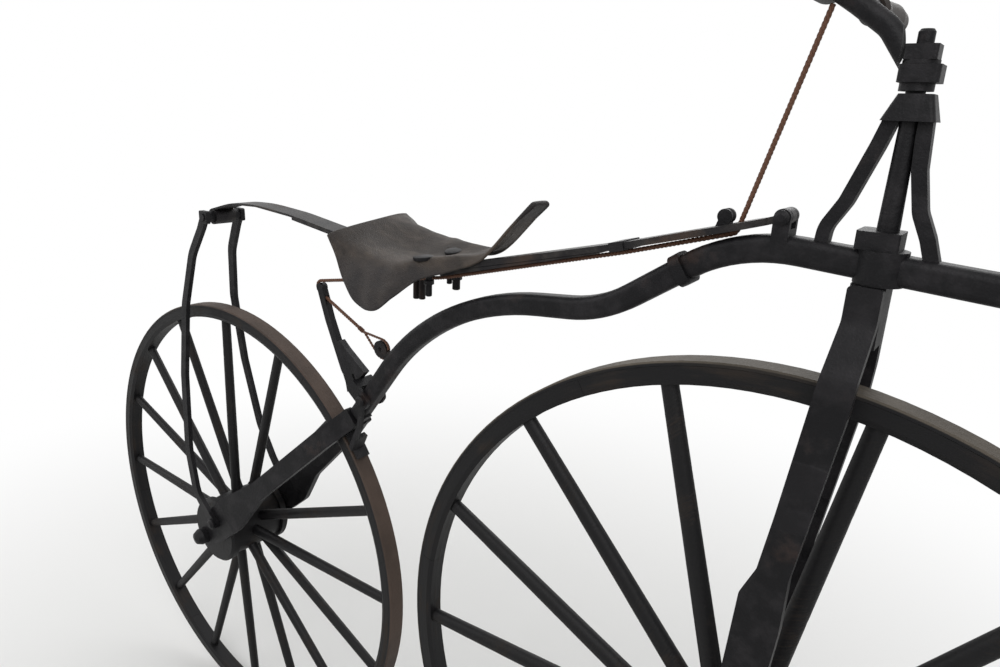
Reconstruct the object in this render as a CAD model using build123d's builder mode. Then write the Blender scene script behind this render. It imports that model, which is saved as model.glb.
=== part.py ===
"""Early two-wheeled velocipede: wrought-iron serpentine backbone, wooden wheels, cranks on the front axle.

Millimetres, +X forwards, +Y to the rider's left, +Z up. The origin is the middle of the saddle's top.
The side plane below has its own zero under the rear axle, on the ground: its local x is the distance
ahead of the rear axle and its local y is the height above the ground.
"""
from build123d import *
import math
import os

os.makedirs("parts", exist_ok=True)

# Wheels
front_radius = 457.0
rear_radius = 398.0
wheelbase = 907.0
tyre_width = 27.0
tyre_thick = 5.0
front_felloe_deep = 20.0
rear_felloe_deep = 17.0
felloe_joint = 0.4
front_spoke_count = 14
front_spoke_start = 3.3
rear_spoke_count = 16
rear_spoke_start = 1.2
spoke_seat = 0.3
spoke_stagger = 9.0
front_spoke_root = 12.0
front_spoke_tip = 9.5
rear_spoke_root = 9.5
rear_spoke_tip = 8.0
spoke_flat = 0.85

# Hubs and axles
front_hub_half = 42.0
front_hub_radius = 48.0
rear_hub_half = 58.0
rear_hub_radius = 52.0
hub_band_width = 14.0
hub_band_high = 6.0
hub_lip = 4.0
front_axle_radius = 9.0
rear_axle_radius = 9.0
running_gap = 0.05
side_gap = 3.0

# Backbone
bar_wide = 24.0
bar_high = 25.0
bar_corner = 7.0
foot_clearance = 43.5
foot_angle = math.radians(43.16)
shoulder_step = (151.5, 204.0)
dip_behind_axle = 203.0
dip_over_wheel = 17.0
head_trail = 49.0
head_over_wheel = 89.5
crest_step = (-118.0, 20.5)
nose_step = (196.0, 3.5)
shoulder_bend = 350.0
dip_bend = 160.0
crest_bend = 160.0
tongue_thick = 12.0
tongue_high = 26.0
tongue_reach = 30.0
tongue_root = 14.0
nose_eye_radius = 16.0
band_along = 95.5
band_long = 12.0
band_proud = 3.5

# Places that follow from the wheels
axle_run = rear_radius + foot_clearance
bar_foot = (axle_run * math.cos(foot_angle), rear_radius + axle_run * math.sin(foot_angle))
bar_shoulder = (bar_foot[0] + shoulder_step[0], bar_foot[1] + shoulder_step[1])
bar_dip = (wheelbase - dip_behind_axle, 2 * front_radius + dip_over_wheel)
head_x = wheelbase + head_trail
head_foot = 2 * front_radius + head_over_wheel
bar_crest = (head_x + crest_step[0], head_foot + crest_step[1])
bar_nose = (head_x + nose_step[0], head_foot + nose_step[1])
leaf_low = (bar_shoulder[0] - 33.5, bar_shoulder[1] + 26.0)
seat_x = leaf_low[0] - 10.0
seat_z = leaf_low[1] + 23.0
crossbar_at = (4.0, leaf_low[1] + 19.0)
spring_eye = (bar_crest[0] + 37.5, bar_crest[1] + 25.5)

# Head: the legs' points are (ahead of the column, above the foot of the head)
head_eye_high = 28.5
head_eye_radius = 19.5
boss_side = 33.0
boss_shift = -4.0
boss_high = 15.0
column_radius = 8.5
column_neck_radius = 7.0
stud_radius = 6.0
stud_tip = 4.5
collar_foot_long = 39.0
collar_top_long = 25.0
collar_foot_wide = 29.0
collar_top_wide = 23.0
collar_shift = 2.0
collar_low = 128.5
cage_gap = 1.0
collar_high = 20.0
leg_thick = 11.0
leg_wide = 13.0
rear_leg = [(-9.5, 139.0), (-18.5, 109.5), (-34.5, 64.0), (-47.0, 41.5), (-49.0, 14.5)]
front_leg = [(11.0, 138.5), (14.0, 92.5), (20.5, 60.5), (29.5, 41.0), (37.0, 18.5)]
leg_bend = 26.0

# Spring
leaf_wide = 34.0
leaf_thick = 6.4
thin_leaf_end = 205.0
leaf_sag = 4.4
sag_share = 0.6475
tongue_half = 6.0
tongue_start = 30.0
tongue_taper = 16.0
spring_eye_radius = 7.4
spring_bolt_radius = 5.0
lug_bolt_radius = 4.0
bolt_slack = 0.3
crossbar_radius = 9.0
crossbar_tenon = 6.0
ring_thick = 3.0
lug_back = 7.5
lug_ahead = 7.0
lug_cheek = 5.0
lug_head_radius = 6.5
lug_head_high = 5.0
lug_throat = 2.5
clip_share = 0.6475
clip_long = 16.0
clip_proud = 1.6
clip_fit = 0.1

# Saddle: sections are (ahead of the seat, half width, height above the seat, drop of the edge,
# sideways lean, rise of the shoulders)
saddle_thick = 4.0
shoulder_share = 0.68
saddle_sections = [
    (-82.0, 65.0, 27.0, 2.0, 0.145, 0.0),
    (-64.0, 72.0, 18.0, 8.0, 0.16, 2.0),
    (-45.0, 76.0, 10.5, 34.0, 0.18, 7.0),
    (-23.0, 78.0, 3.5, 46.0, 0.19, 11.0),
    (0.0, 78.0, 0.0, 45.0, 0.2, 10.0),
    (26.0, 64.0, 1.0, 31.0, 0.2, 10.0),
    (50.0, 47.0, 3.5, 17.0, 0.2, 9.0),
    (80.0, 33.0, 9.5, 12.0, 0.2, 6.0),
    (113.0, 23.0, 17.5, 8.0, 0.15, 1.0),
    (137.0, 19.5, 28.0, 3.0, 0.1, 0.0),
    (167.0, 18.5, 56.0, 2.0, 0.05, 0.0),
    (190.0, 16.0, 78.0, 1.5, 0.0, 0.0),
]
# Saddle clips: (ahead of the seat, length of the legs below the spring)
clip_places = [(-18.0, 46.0), (45.0, 28.0)]
clip_leg_y = 22.0
clip_leg_radius = 3.5
clip_plate_long = 16.0
clip_plate_thick = 3.0
clip_plate_lip = 7.0
clip_nut_radius = 6.0
clip_nut_high = 6.0
clip_nut_up = 3.0
clip_head_radius = 10.0
clip_head_proud = 3.0
clip_head_sunk = 4.0

# Fork: the outline's points are (ahead, above) the head's foot in the first lists
# and the front axle in the others
blade_thick = 10.0
stem_back = 18.0
stem_ahead = 9.0
stem_half = 12.0
stem_long = 53.5
seat_gap = 0.5
fork_spread = 36.0
fork_foot_y = 51.0
fork_eye_radius = 21.0
fork_back_top = [(-18.0, -0.5), (-18.0, -31.5), (-26.0, -103.5)]
fork_back_low = [(11.0, 333.0), (4.0, 278.0), (-8.0, 248.0), (-11.0, 183.0), (-20.0, 23.0), (-20.0, 0.0)]
fork_front_low = [(20.0, 0.0), (20.0, 23.0), (27.0, 143.0), (33.0, 223.0), (33.0, 278.0)]
fork_front_top = [(5.0, -103.5), (9.0, -31.5), (9.0, -0.5)]
fork_bends = [4, 60, 60, 60, 15, 15, 60, 15, 4, 4, 15, 60, 60, 30, 60, 60, 4]

# Rear fork and struts: the struts' points are (ahead of, above) the rear axle
rear_blade_thick = 10.0
blade_start = 3.0
rear_blade_y = 69.5
rear_eye_radius = 20.0
strut_wide = 14.0
strut_thick = 7.0
strut_top_y = 31.0
strut_top_side = 20.0
strut_middle = [(-50.0, 402.0), (-50.0, 282.0), (-34.0, 152.0), (-6.0, 80.0)]
strut_foot_step = (40.0, 42.0)
strut_bend = 60.0
strut_eye_radius = 10.0
rivet_radius = 9.0
rivet_high = 7.0

# Cranks, pedals and bars
crank_angle = 60.0
crank_length = 140.0
crank_thick = 13.0
crank_inner_y = 61.0
crank_boss_radius = 17.0
crank_tip_radius = 13.0
crank_slot_long = 56.0
pedal_long = 92.0
pedal_radius = 24.0
pedal_waist = 15.0
pedal_gap = 1.0
pedal_set_off = 7.0
spindle_radius = 7.0
handlebar_radius = 9.0
handlebar_half = 290.0
handlebar_step = (-80.0, 233.5)
handlebar_boss_radius = 16.0
handlebar_boss_half = 19.0
bracket_arm_radius = 8.5
bracket_arm = [(-3.0, 164.5), (-26.0, 196.5), (-51.0, 214.5)]
bracket_bends = [30.0, 60.0]
bracket_step_radius = 12.3
bracket_low = 150.5
bracket_step_high = 6.0
bracket_side = 29.0
bracket_shift = 1.5
bracket_high = 13.0
washer_radius = 13.0
washer_thick = 3.0
nut_side = 23.0
nut_high = 11.0
stud_above = 11.0
grip_long = 118.0
grip_radius = 16.0
grip_cap = 4.0
rest_half = 150.0
rest_radius = 8.0
rest_knob = 12.0
handlebar_at = (head_x + handlebar_step[0], head_foot + handlebar_step[1])

# Brake: the lever's points are (ahead of, above) the pivot on the backbone
pivot_along = 38.6
lever_thick = 10.0
lever_wide = 11.0
tail_wide = 8.0
cheek_thick = 5.0
cheek_gap = 0.5
cheek_low = -12.0
cheek_high = 31.0
cheek_half_wide = 11.0
cheek_window = 3.0
lever_points = [(-36.0, 14.0), (-51.0, 30.0), (-83.0, 99.0), (-99.0, 143.5)]
web_points = [(-71.0, 68.0), (-58.0, 73.0), (-46.0, 63.0), (-7.0, 37.0), (-44.0, -2.0), (-47.0, 12.0),
              (-60.0, 40.0)]
web_slot = (-29.0, 24.0)
web_slot_long = 12.0
web_slot_wide = 4.0
lever_tip_radius = 6.5
shoe_gap = 3.0
shoe_thick = 4.0
shoe_half_wide = 11.0
shoe_angles = (35.5, 43.0)
shoe_landing = 2.5
tail_knee = (-6.5, -42.0)
tail_bend = 6.0
eye_radius = 12.0
eye_hole_radius = 3.2
eye_thick = 8.0
eye_along = 116.0
eye_out = 27.5
cord_radius = 2.5
cord_gap = 0.4
cord_clip = (leaf_low[0] + 38.0, leaf_low[1] - 2.5)
cord_turn_radius = 6.0
cord_clip_radius = 300.0
cord_end_gap = 0.3
cord_end_turn = math.radians(26.0)
roller_behind_eye = 52.7
roller_radius = 7.0
roller_groove = 4.8
roller_half = 5.5


def across(y):
    """The side plane moved to a distance y to the left of the middle of the machine."""
    return Plane(origin=(-seat_x, y, -seat_z), x_dir=(1, 0, 0), z_dir=(0, -1, 0))


def place(x, y, z):
    """A point ahead of the rear axle by x, left of the middle by y and above the ground by z."""
    return Vector(x - seat_x, y, z - seat_z)


side = across(0)
on_foot = (Align.CENTER, Align.CENTER, Align.MIN)
front_plane = Plane(origin=(-seat_x, 0, -seat_z), x_dir=(0, 1, 0), z_dir=(1, 0, 0))
leaf_line = [(crossbar_at[0] - 2.0, crossbar_at[1] + 9.0), (60.0, leaf_low[1] + 43.5),
             (120.0, leaf_low[1] + 46.4), (200.0, leaf_low[1] + 41.5), (300.0, leaf_low[1] + 29.0), leaf_low,
             (leaf_low[0] + sag_share * (spring_eye[0] - leaf_low[0]),
              leaf_low[1] + sag_share * (spring_eye[1] - leaf_low[1]) - leaf_sag),
             (spring_eye[0] - 13.5, spring_eye[1] - 5.5), spring_eye]
leaf_bends = [200.0, 400.0, 400.0, 300.0, 90.0, 800.0, 60.0]
front_centre = place(wheelbase, 0, front_radius)
rear_centre = place(0, 0, rear_radius)


def outward(angle):
    """The direction from a wheel's centre at an angle in degrees, from straight ahead to straight up."""
    return Vector(math.cos(math.radians(angle)), 0, math.sin(math.radians(angle)))


def turned(centre, outline):
    """Revolve an outline of (distance along the axle, radius) corners about the axle line."""
    with BuildSketch(Plane(origin=centre, x_dir=(0, 1, 0), z_dir=(1, 0, 0)), mode=Mode.PRIVATE) as profile:
        with BuildLine():
            Polyline(*outline, close=True)
        make_face()
    revolve(profile.sketch, axis=Axis(centre, (0, 1, 0)))


def upright_turned(x, outline):
    """Revolve an outline of (radius, height above the ground) corners about an upright line."""
    foot = place(x, 0, 0)
    with BuildSketch(Plane(origin=foot, x_dir=(1, 0, 0), z_dir=(0, -1, 0)), mode=Mode.PRIVATE) as profile:
        with BuildLine():
            Polyline(*outline, close=True)
        make_face()
    revolve(profile.sketch, axis=Axis(foot, (0, 0, 1)))


def bar_point(along, out=0.0):
    """A point near the foot of the backbone: along the bar from its foot, and out above its middle line."""
    run = math.hypot(bar_shoulder[0] - bar_foot[0], bar_shoulder[1] - bar_foot[1])
    ahead = ((bar_shoulder[0] - bar_foot[0]) / run, (bar_shoulder[1] - bar_foot[1]) / run)
    return (bar_foot[0] + ahead[0] * along - ahead[1] * out, bar_foot[1] + ahead[1] * along + ahead[0] * out)


def leaf_piece(x):
    """The two points of the spring's line that a distance x ahead of the rear axle lies between."""
    for first, second in zip(leaf_line, leaf_line[1:]):
        if x <= second[0]:
            return first, second
    return leaf_line[-2], leaf_line[-1]


def leaf_slope(x):
    """Slope of the spring in degrees at a distance x."""
    (x1, z1), (x2, z2) = leaf_piece(x)
    return math.degrees(math.atan2(z2 - z1, x2 - x1))


def leaf_height(x):
    """Height of the middle of the spring at a distance x."""
    (x1, z1), (x2, z2) = leaf_piece(x)
    return z1 + (z2 - z1) * (x - x1) / (x2 - x1)


def stepped(corner, steps):
    """Points given as steps ahead of and above a corner."""
    return [(corner[0] + ahead, corner[1] + above) for ahead, above in steps]


def slab(outline_plane, half, *corners, bends=None, mode=Mode.ADD):
    """A plate of a closed outline, half to each side of its plane, with its corners rounded by bends."""
    with BuildSketch(outline_plane, mode=Mode.PRIVATE) as face:
        with BuildLine():
            if bends is None:
                Polyline(*corners, close=True)
            else:
                FilletPolyline(*corners, radius=bends, close=True)
        make_face()
    extrude(face.sketch, amount=half, both=True, mode=mode)


def band(outline_plane, half, width, points, bend, mode=Mode.ADD):
    """A strip of an even width along a line with rounded corners, half to each side of its plane."""
    with BuildSketch(outline_plane, mode=Mode.PRIVATE) as face:
        with BuildLine():
            if len(points) > 2:
                FilletPolyline(*points, radius=bend)
            else:
                Line(*points)
        trace(line_width=width)
    extrude(face.sketch, amount=half, both=True, mode=mode)


def disc(plane, at, radius, half, mode=Mode.ADD):
    """A round plate, boss or hole at a point of a plane, half to each side of it."""
    with BuildSketch(plane, mode=Mode.PRIVATE) as face:
        with Locations(at):
            Circle(radius)
    extrude(face.sketch, amount=half, both=True, mode=mode)


def finish(piece, name):
    """Label a finished piece and write it to its own file."""
    piece.part.label = name
    export_step(piece.part, f"parts/{name}.step")


# Wheels
def wheel(name, centre, radius, felloe_deep, hub_half, hub_radius, count, start, root, tip, axle_radius):
    """One wooden wheel: iron tyre, felloes in pairs of spokes, spokes and a banded hub."""
    felloe_out = radius - tyre_thick
    felloe_in = felloe_out - felloe_deep
    half = tyre_width / 2

    with BuildPart() as tyre:
        turned(centre, [(-half, felloe_out + spoke_seat), (half, felloe_out + spoke_seat),
                        (half, radius - 1.5), (half - 1.5, radius), (1.5 - half, radius),
                        (-half, radius - 1.5)])
    finish(tyre, f"{name}_tyre")

    segments = count // 2
    inner_half = half - 3.0
    with BuildPart() as felloes:
        turned(centre, [(-half, felloe_out), (half, felloe_out), (half, felloe_in + 6.0),
                        (inner_half, felloe_in), (-inner_half, felloe_in), (-half, felloe_in + 6.0)])
        for number in range(segments):
            angle = start + 180.0 / count + 360.0 * number / segments
            joint_plane = Plane(origin=centre, x_dir=outward(angle), z_dir=outward(angle + 90))
            with BuildSketch(joint_plane, mode=Mode.PRIVATE) as cut:
                with Locations(((felloe_in + felloe_out) / 2, 0)):
                    Rectangle(felloe_deep * 2, tyre_width * 2)
            extrude(cut.sketch, amount=felloe_joint / 2, both=True, mode=Mode.SUBTRACT)
    finish(felloes, f"{name}_felloes")

    bore = axle_radius + running_gap
    band_radius = hub_radius + hub_band_high
    with BuildPart() as hub:
        turned(centre, [(-hub_half, bore), (-hub_half, band_radius - hub_lip),
                        (hub_lip - hub_half, band_radius), (hub_band_width - hub_half, band_radius),
                        (hub_band_width - hub_half, hub_radius), (-hub_half / 3, hub_radius + 2.0),
                        (hub_half / 3, hub_radius + 2.0), (hub_half - hub_band_width, hub_radius),
                        (hub_half - hub_band_width, band_radius), (hub_half - hub_lip, band_radius),
                        (hub_half, band_radius - hub_lip), (hub_half, bore)])
        for number in range(count):
            lean = spoke_stagger if number % 2 else -spoke_stagger
            ray = outward(start + 360.0 * number / count)
            root_at = centre + ray * (hub_radius - 8.0) + Vector(0, lean, 0)
            tip_at = centre + ray * (felloe_in - spoke_seat)
            root_plane = Plane(origin=root_at, x_dir=(0, 1, 0), z_dir=ray)
            tip_plane = Plane(origin=tip_at, x_dir=(0, 1, 0), z_dir=ray)
            with BuildSketch(root_plane, mode=Mode.PRIVATE) as root_oval:
                Ellipse(root * spoke_flat, root)
            with BuildSketch(tip_plane, mode=Mode.PRIVATE) as tip_oval:
                Ellipse(tip * spoke_flat, tip)
            loft([root_oval.sketch.face(), tip_oval.sketch.face()])
    finish(hub, f"{name}_hub")


wheel("front", front_centre, front_radius, front_felloe_deep, front_hub_half, front_hub_radius,
      front_spoke_count, front_spoke_start, front_spoke_root, front_spoke_tip, front_axle_radius)
wheel("rear", rear_centre, rear_radius, rear_felloe_deep, rear_hub_half, rear_hub_radius,
      rear_spoke_count, rear_spoke_start, rear_spoke_root, rear_spoke_tip, rear_axle_radius)


# Backbone
with BuildPart() as backbone:
    with BuildLine(side) as bar_line:
        FilletPolyline(bar_foot, bar_shoulder, bar_dip, bar_crest, bar_nose,
                       radius=[shoulder_bend, dip_bend, crest_bend])
    with BuildSketch(Plane(origin=bar_line.line @ 0, x_dir=(0, 1, 0), z_dir=bar_line.line % 0)):
        RectangleRounded(bar_wide, bar_high, bar_corner)
    sweep(path=bar_line.line)
    to_axle = Vector(-bar_foot[0] / axle_run, 0, (rear_radius - bar_foot[1]) / axle_run)
    blade_side = Plane(origin=place(bar_foot[0], 0, bar_foot[1]), x_dir=to_axle, z_dir=(0, -1, 0))
    slab(blade_side, tongue_thick / 2, (-tongue_root, -tongue_high / 2), (tongue_reach, -tongue_high / 2),
         (tongue_reach, tongue_high / 2), (-tongue_root, tongue_high / 2))
    head_top = head_foot + head_eye_high
    upright_turned(head_x, [(0, head_foot), (head_eye_radius, head_foot), (head_eye_radius, head_top),
                            (0, head_top)])
    disc(side, bar_nose, nose_eye_radius, bar_wide / 2)
    disc(side, bar_nose, rest_radius + running_gap, bar_wide, mode=Mode.SUBTRACT)
    disc(side, bar_point(pivot_along), spring_bolt_radius + bolt_slack, bar_wide, mode=Mode.SUBTRACT)
    with Locations(place(head_x, 0, head_foot)):
        Cylinder(column_radius + running_gap, 200, mode=Mode.SUBTRACT)
finish(backbone, "backbone")

with BuildPart() as backbone_band:
    slope = math.atan2(bar_crest[1] - bar_dip[1], bar_crest[0] - bar_dip[0])
    ahead = Vector(math.cos(slope), 0, math.sin(slope))
    start = place(bar_dip[0], 0, bar_dip[1]) + ahead * band_along
    with BuildSketch(Plane(origin=start, x_dir=(0, 1, 0), z_dir=ahead)):
        RectangleRounded(bar_wide + 2 * band_proud, bar_high + 2 * band_proud, bar_corner + band_proud)
        RectangleRounded(bar_wide, bar_high, bar_corner, mode=Mode.SUBTRACT)
    extrude(amount=band_long)
finish(backbone_band, "backbone_band")

with BuildPart() as head_boss:
    with BuildSketch(Plane(place(head_x, 0, head_top))):
        with Locations((boss_shift, 0)):
            Rectangle(boss_side, boss_side)
        fillet(vertices(), 3.0)
        Circle(column_radius + running_gap, mode=Mode.SUBTRACT)
    extrude(amount=boss_high)
finish(head_boss, "head_boss")

head_at = (head_x, head_foot)
with BuildPart() as head_cage:
    with BuildSketch(Plane(place(head_x, 0, head_foot + collar_low)), mode=Mode.PRIVATE) as collar_foot:
        RectangleRounded(collar_foot_long, collar_foot_wide, 4.0)
    collar_upper = head_foot + collar_low + collar_high
    with BuildSketch(Plane(place(head_x, 0, collar_upper)), mode=Mode.PRIVATE) as collar_top:
        with Locations((collar_shift, 0)):
            RectangleRounded(collar_top_long, collar_top_wide, 4.0)
    loft([collar_foot.sketch.face(), collar_top.sketch.face()])
    for leg_line in (rear_leg, front_leg):
        band(side, leg_wide / 2, leg_thick, stepped(head_at, leg_line), leg_bend)
    with Locations(place(head_x, 0, head_foot)):
        Cylinder(column_neck_radius + running_gap, 200, align=on_foot, mode=Mode.SUBTRACT)
        Cylinder(column_radius + cage_gap, collar_low, align=on_foot, mode=Mode.SUBTRACT)
    above = Plane(place(head_x, 0, head_foot + collar_low + collar_high))
    with BuildSketch(above, mode=Mode.PRIVATE) as cap:
        Rectangle(200, 200)
    extrude(cap.sketch, amount=60, mode=Mode.SUBTRACT)
    add(backbone.part, mode=Mode.SUBTRACT)
finish(head_cage, "head_cage")

with BuildPart() as leg_rest:
    turned(place(bar_nose[0], 0, bar_nose[1]),
           [(-rest_half, 0), (-rest_half, rest_radius), (rest_half, rest_radius), (rest_half, 0)])
    for lean in (-1, 1):
        with Locations(place(bar_nose[0], lean * rest_half, bar_nose[1])):
            Sphere(rest_knob)
finish(leg_rest, "leg_rest")

# Rear fork
strut_foot = (strut_foot_step[0], rear_radius + strut_foot_step[1])
across_blade = to_axle.cross(Vector(0, 1, 0))
blade_edge = Plane(origin=place(bar_foot[0], 0, bar_foot[1]), x_dir=to_axle, z_dir=across_blade)
for word, hand in (("left", 1), ("right", -1)):
    with BuildPart() as rear_blade:
        slab(blade_side, 100, (blade_start, -15), (axle_run - 191.5, -15), (axle_run - 106.5, -27),
             (axle_run - 46.5, -27), (axle_run, -20), (axle_run, 20), (axle_run - 46.5, 30),
             (axle_run - 106.5, 33), (axle_run - 191.5, 16), (blade_start, 15),
             bends=[3, 60, 60, 60, 5, 5, 60, 60, 60, 3])
        disc(blade_side, (axle_run, 0), rear_eye_radius, 100)
        plan = [(blade_start - 8, 11.0), (18, 11.0), (62, 27.0), (axle_run - 116.5, 66.0),
                (axle_run - 91.5, rear_blade_y), (axle_run + 30, rear_blade_y)]
        band(blade_edge, 100, rear_blade_thick, [(u, -hand * y) for u, y in plan], 25.0, mode=Mode.INTERSECT)
        disc(side, (0, rear_radius), rear_axle_radius + running_gap, 200, mode=Mode.SUBTRACT)
        disc(side, strut_foot, spring_bolt_radius + bolt_slack, 200, mode=Mode.SUBTRACT)
    finish(rear_blade, f"rear_fork_{word}")

with BuildPart() as rear_axle:
    collar_end = rear_blade_y - rear_blade_thick / 2 - bolt_slack
    axle_end = rear_blade_y + rear_blade_thick / 2 + 12.0
    hub_end = rear_hub_half + side_gap
    turned(rear_centre, [(-axle_end, 0), (-axle_end, rear_axle_radius), (-collar_end, rear_axle_radius),
                         (-collar_end, 15), (-hub_end, 15), (-hub_end, rear_axle_radius),
                         (hub_end, rear_axle_radius), (hub_end, 15), (collar_end, 15),
                         (collar_end, rear_axle_radius), (axle_end, rear_axle_radius), (axle_end, 0)])
finish(rear_axle, "rear_axle")

nut_seat = rear_blade_y + rear_blade_thick / 2 + bolt_slack
with BuildPart() as rear_axle_nuts:
    for hand in (-1, 1):
        turned(rear_centre, [(hand * nut_seat, rear_axle_radius + running_gap), (hand * nut_seat, 14),
                             (hand * (nut_seat + 9), 14), (hand * (nut_seat + 17), 10),
                             (hand * (nut_seat + 20), 0), (hand * (axle_end + 1), 0),
                             (hand * (axle_end + 1), rear_axle_radius + running_gap)])
finish(rear_axle_nuts, "rear_axle_nuts")

# Struts and crossbar
strut_foot_y = rear_blade_y + rear_blade_thick / 2 + bolt_slack + strut_thick / 2
strut_line = [crossbar_at, (-32.0, crossbar_at[1] - 63.0), *stepped((0, rear_radius), strut_middle),
              strut_foot]
with BuildPart() as crossbar:
    shoulder = strut_top_y - strut_thick / 2 - bolt_slack
    tenon_end = strut_top_y + strut_thick / 2 + 2.0
    turned(place(crossbar_at[0], 0, crossbar_at[1]),
           [(-tenon_end, 0), (-tenon_end, crossbar_tenon), (-shoulder, crossbar_tenon),
            (-shoulder, crossbar_radius), (shoulder, crossbar_radius), (shoulder, crossbar_tenon),
            (tenon_end, crossbar_tenon), (tenon_end, 0)])
finish(crossbar, "crossbar")

for word, hand in (("left", 1), ("right", -1)):
    with BuildPart() as strut:
        band(side, 100, strut_wide, strut_line, strut_bend)
        with BuildSketch(side, mode=Mode.PRIVATE) as strut_head:
            with Locations(crossbar_at):
                RectangleRounded(strut_top_side, strut_top_side, 3.0)
        extrude(strut_head.sketch, amount=100, both=True)
        disc(side, strut_foot, strut_eye_radius, 100)
        lean = [(hand * strut_top_y, crossbar_at[1] + 27.0), (hand * strut_top_y, crossbar_at[1] - 18.0),
                (hand * strut_foot_y, rear_radius + 82.0), (hand * strut_foot_y, rear_radius + 2.0)]
        band(front_plane, 300, strut_thick, lean, 60.0, mode=Mode.INTERSECT)
        disc(side, crossbar_at, crossbar_tenon + running_gap, 100, mode=Mode.SUBTRACT)
        disc(side, strut_foot, spring_bolt_radius + bolt_slack, 100, mode=Mode.SUBTRACT)
    finish(strut, f"strut_{word}")

with BuildPart() as strut_bolts:
    for hand in (-1, 1):
        inner = hand * (rear_blade_y - rear_blade_thick / 2)
        outer = hand * (strut_foot_y + strut_thick / 2 + bolt_slack)
        dome = outer + hand * rivet_high
        turned(place(strut_foot[0], 0, strut_foot[1]),
               [(inner, 0), (inner, spring_bolt_radius), (outer, spring_bolt_radius), (outer, rivet_radius),
                ((outer + dome) / 2, rivet_radius), (dome, rivet_radius / 2), (dome, 0)])
finish(strut_bolts, "strut_bolts")

# Spring
half_leaf = leaf_thick / 2
roller_at = spring_eye[0] - roller_behind_eye
cord_hole_at = roller_at + roller_radius + cord_radius + 1.5
tongue_from = spring_eye[0] - tongue_start
with BuildPart() as main_spring:
    band(side, leaf_wide / 2, leaf_thick, leaf_line, leaf_bends)
    under = [point for point in leaf_line if point[0] < thin_leaf_end]
    slab(side, leaf_wide, (-60.0, crossbar_at[1] - 60), (thin_leaf_end, crossbar_at[1] - 60),
         (thin_leaf_end, leaf_height(thin_leaf_end)), *reversed(under), (-60.0, under[0][1]),
         mode=Mode.SUBTRACT)
    disc(side, crossbar_at, crossbar_radius + bolt_slack + ring_thick, leaf_wide / 2)
    disc(side, crossbar_at, crossbar_radius + bolt_slack, leaf_wide, mode=Mode.SUBTRACT)
    disc(side, spring_eye, spring_eye_radius, leaf_wide / 2)
    above = Plane(place(0, 0, spring_eye[1] - 200))
    with BuildSketch(above, mode=Mode.PRIVATE) as plan_view:
        with BuildLine():
            wide = leaf_wide / 2
            far = tongue_from + tongue_taper
            tip = spring_eye[0] + 20
            Polyline((-30, -wide), (tongue_from, -wide), (far, -tongue_half), (tip, -tongue_half),
                     (tip, tongue_half), (far, tongue_half), (tongue_from, wide), (-30, wide), close=True)
        make_face()
    extrude(plan_view.sketch, amount=400, mode=Mode.INTERSECT)
    disc(side, spring_eye, lug_bolt_radius + bolt_slack, leaf_wide, mode=Mode.SUBTRACT)
    with Locations(place(cord_hole_at, 0, leaf_height(cord_hole_at))):
        Cylinder(cord_radius + 3.0, 60, mode=Mode.SUBTRACT)
finish(main_spring, "main_spring")

with BuildPart() as spring_clip:
    clip_at = leaf_low[0] + clip_share * (spring_eye[0] - leaf_low[0])
    clip_heading = math.radians((leaf_slope(clip_at - 5) + leaf_slope(clip_at + 5)) / 2)
    clip_plane = Plane(origin=place(clip_at, 0, leaf_height(clip_at)), x_dir=(0, 1, 0),
                       z_dir=(math.cos(clip_heading), 0, math.sin(clip_heading)))
    with BuildSketch(clip_plane):
        Rectangle(leaf_wide + 2 * clip_proud, leaf_thick + 2 * clip_proud)
        Rectangle(leaf_wide + 2 * clip_fit, leaf_thick + 2 * clip_fit, mode=Mode.SUBTRACT)
    extrude(amount=clip_long / 2, both=True)
    add(main_spring.part, mode=Mode.SUBTRACT)
finish(spring_clip, "spring_clip")

with BuildPart() as spring_lug:
    cheek_from = tongue_half + 1.0
    cheek_to = cheek_from + lug_cheek
    eye_x, eye_z = spring_eye
    bar_top = bar_crest[1] - 2.0
    slab(side, cheek_to, (eye_x - lug_back, bar_top), (eye_x + lug_ahead, bar_top),
         (eye_x + lug_ahead, eye_z), (eye_x - lug_back, eye_z))
    disc(side, spring_eye, spring_eye_radius, cheek_to)
    throat = eye_z - spring_eye_radius - lug_throat
    with BuildSketch(side, mode=Mode.PRIVATE) as gap:
        with Locations((eye_x, throat + 30.0)):
            Rectangle(80, 60)
    extrude(gap.sketch, amount=cheek_from, both=True, mode=Mode.SUBTRACT)
    disc(side, spring_eye, lug_bolt_radius + bolt_slack, 60, mode=Mode.SUBTRACT)
    add(backbone.part, mode=Mode.SUBTRACT)
finish(spring_lug, "spring_lug")

with BuildPart() as spring_bolt:
    seat = cheek_to + bolt_slack
    head_end = seat + lug_head_high
    turned(place(eye_x, 0, eye_z),
           [(-head_end, 0), (-head_end, lug_head_radius / 2), (-head_end + 2, lug_head_radius),
            (-seat, lug_head_radius), (-seat, lug_bolt_radius), (seat, lug_bolt_radius),
            (seat, lug_head_radius),
            (head_end - 2, lug_head_radius), (head_end, lug_head_radius / 2), (head_end, 0)])
finish(spring_bolt, "spring_bolt")

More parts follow.
